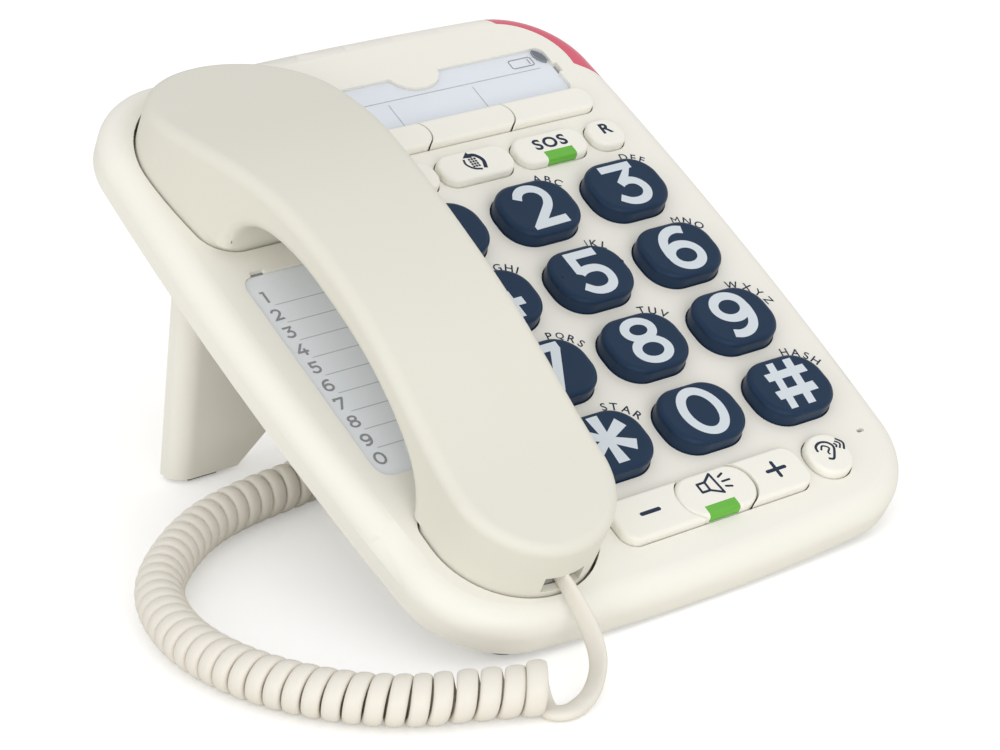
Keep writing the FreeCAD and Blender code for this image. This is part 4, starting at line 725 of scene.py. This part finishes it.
def makeLabelPrints(greyInkAndPaintedShade, lineInk):
    look = labelPrint
    battery = strokes(look["batteryWidth"], *look["battery"]) + strokes(look["batteryWidth"], *look["charge"])
    makePrint("batterySign", battery, level["paper"], faceMiddle, greyInkAndPaintedShade, "base")
    # painted shade: flat grey quads at the bottom of the two narrow slots by the card and the label, from
    # which these are prised out, stand in for the shade there
    makePrint("cardSlotShade", [bar(*cardPrint["slot"])], level["cardSlot"], faceMiddle, greyInkAndPaintedShade, "base")
    makePrint("prySlotShade", [bar(*look["prySlot"])], level["prySlot"], faceMiddle, greyInkAndPaintedShade, "base")
    lines = sum((strokes(look["lineWidth"], *line) for line in look["lines"]), [])
    makePrint("labelLines", lines, level["paper"], faceMiddle, lineInk, "base")


def makeCardPrints(greyInkAndPaintedShade, lineInk):
    look = cardPrint
    size = (look["numeralScale"],) * 2
    numerals, lines = [], []
    for index, name in enumerate(look["rows"]):
        v = look["top"] - look["pitch"] * index
        numerals += [turned(shape, angle=0.0, scale=size, shift=(look["numeralPlace"], v))
                     for shape in digitShapes[name]]
        if name != look["rows"][-1]:
            low = v - look["lineBelow"]
            lines += strokes(look["lineWidth"], (look["line"][0], low), (look["line"][1], low))
    makePrint("cardNumerals", numerals, level["card"], faceMiddle, greyInkAndPaintedShade, "base")
    makePrint("cardLines", lines, level["card"], faceMiddle, lineInk, "base")


# Studio

# the white floor is what the camera sees; the pale one under it gives back the light as a real table top does
studio = {
    "world": 0.79,
    "floorReach": 6.0,  # metres from the middle to each edge
    "seenFloor": {"colour": "#FFFFFF", "glow": 0.24, "height": 0.0},
    "bounceFloor": {"colour": "#EAE8E2", "glow": 0.0, "height": -0.0005},
    "aim": (0.0, 0.0, 0.05),
    "lights": {"softboxFront": {"place": (-0.4, -1.7, 0.35), "size": 1.3, "power": 10.5},
               "softboxLeft": {"place": (-1.5, -0.6, 0.15), "size": 1.2, "power": 8.5},
               "softboxRight": {"place": (1.3, -0.6, 1.2), "size": 1.2, "power": 1.5}},
}


def makeFloor(name, look):
    reach = studio["floorReach"]
    corners = ((-reach, -reach), (reach, -reach), (reach, reach), (-reach, reach))
    mesh = bpy.data.meshes.new(name)
    mesh.from_pydata([(x, y, look["height"]) for x, y in corners], [], [(0, 1, 2, 3)])
    floor = bpy.data.objects.new(name, mesh)
    bpy.context.scene.collection.objects.link(floor)
    # matt background paper: nearly no gloss
    material, tree, output = startMaterial(name + "Paper")
    shader = addNode(tree, "ShaderNodeBsdfPrincipled", None,
                     {"Base Color": linearColour(look["colour"]), "Roughness": 0.9, "Specular IOR Level": 0.1,
                      "Emission Color": (1, 1, 1, 1), "Emission Strength": look["glow"]})
    tree.links.new(shader.outputs["BSDF"], output.inputs["Surface"])
    floor.data.materials.append(material)
    return floor


def makeStudio():
    seen = makeFloor("studioFloor", studio["seenFloor"])
    seen.visible_diffuse = seen.visible_glossy = seen.visible_shadow = False
    bounce = makeFloor("studioTable", studio["bounceFloor"])
    bounce.visible_camera = False
    world = bpy.data.worlds.new("studioWorld")
    bpy.context.scene.world = world
    world.use_nodes = True
    background = world.node_tree.nodes["Background"]
    background.inputs["Color"].default_value = linearColour("#FFFFFF")
    background.inputs["Strength"].default_value = studio["world"]
    for name, look in studio["lights"].items():
        data = bpy.data.lights.new(name, "AREA")
        data.size = look["size"]
        data.energy = look["power"]
        lamp = bpy.data.objects.new(name, data)
        bpy.context.scene.collection.objects.link(lamp)
        lamp.location = look["place"]
        aim = Vector(studio["aim"]) - Vector(look["place"])
        lamp.rotation_euler = aim.to_track_quat("-Z", "Y").to_euler()


slotMaterials = {
    "ivory_case": "ivoryAbs", "ivory_key": "keyAbs", "handset_ivory": "handsetAbs", "key_navy": "navyKeyAbs",
    "foot_rubber": "footRubber", "mat_rubber": "matRubber", "red_lens": "redLens",
    "green_lens": "greenLens", "light_smoke": "smokedLens", "board": "boardGreen",
    "capsule_black": "blackAbs", "jack_white": "jackNylon", "jack_black": "blackAbs",
    "cell_jacket": "cellFilm", "cord_sheath": "cordPvc", "label_paper": "labelPaper",
    "index_paper": "indexPaper", "clear_cover": "clearSheet", "clear_plug": "clearPlug",
    "spring_steel": "springSteel",
}

makeCamera()
made = {name: makeMaterial(name, look) for name, look in looks.items()}
print("materials made")
leadStart = makeCurlyCord(made["cordPvc"])
makeHandsetLead(leadStart, made["cordPvc"])
makeKeyPrints(made["digitInk"], made["navyInk"])
makeBlindDots(made["navyKeyAbs"])
makeLabelPrints(made["greyInkAndPaintedShade"], made["lineInk"])
makeCardPrints(made["greyInkAndPaintedShade"], made["lineInk"])
print("signs printed")
for part in frame["record"]["subparts"]:
    dress(part["node"], made[slotMaterials[part["material_slot"]]])
print("pieces dressed")
makeStudio()
print("studio set up")
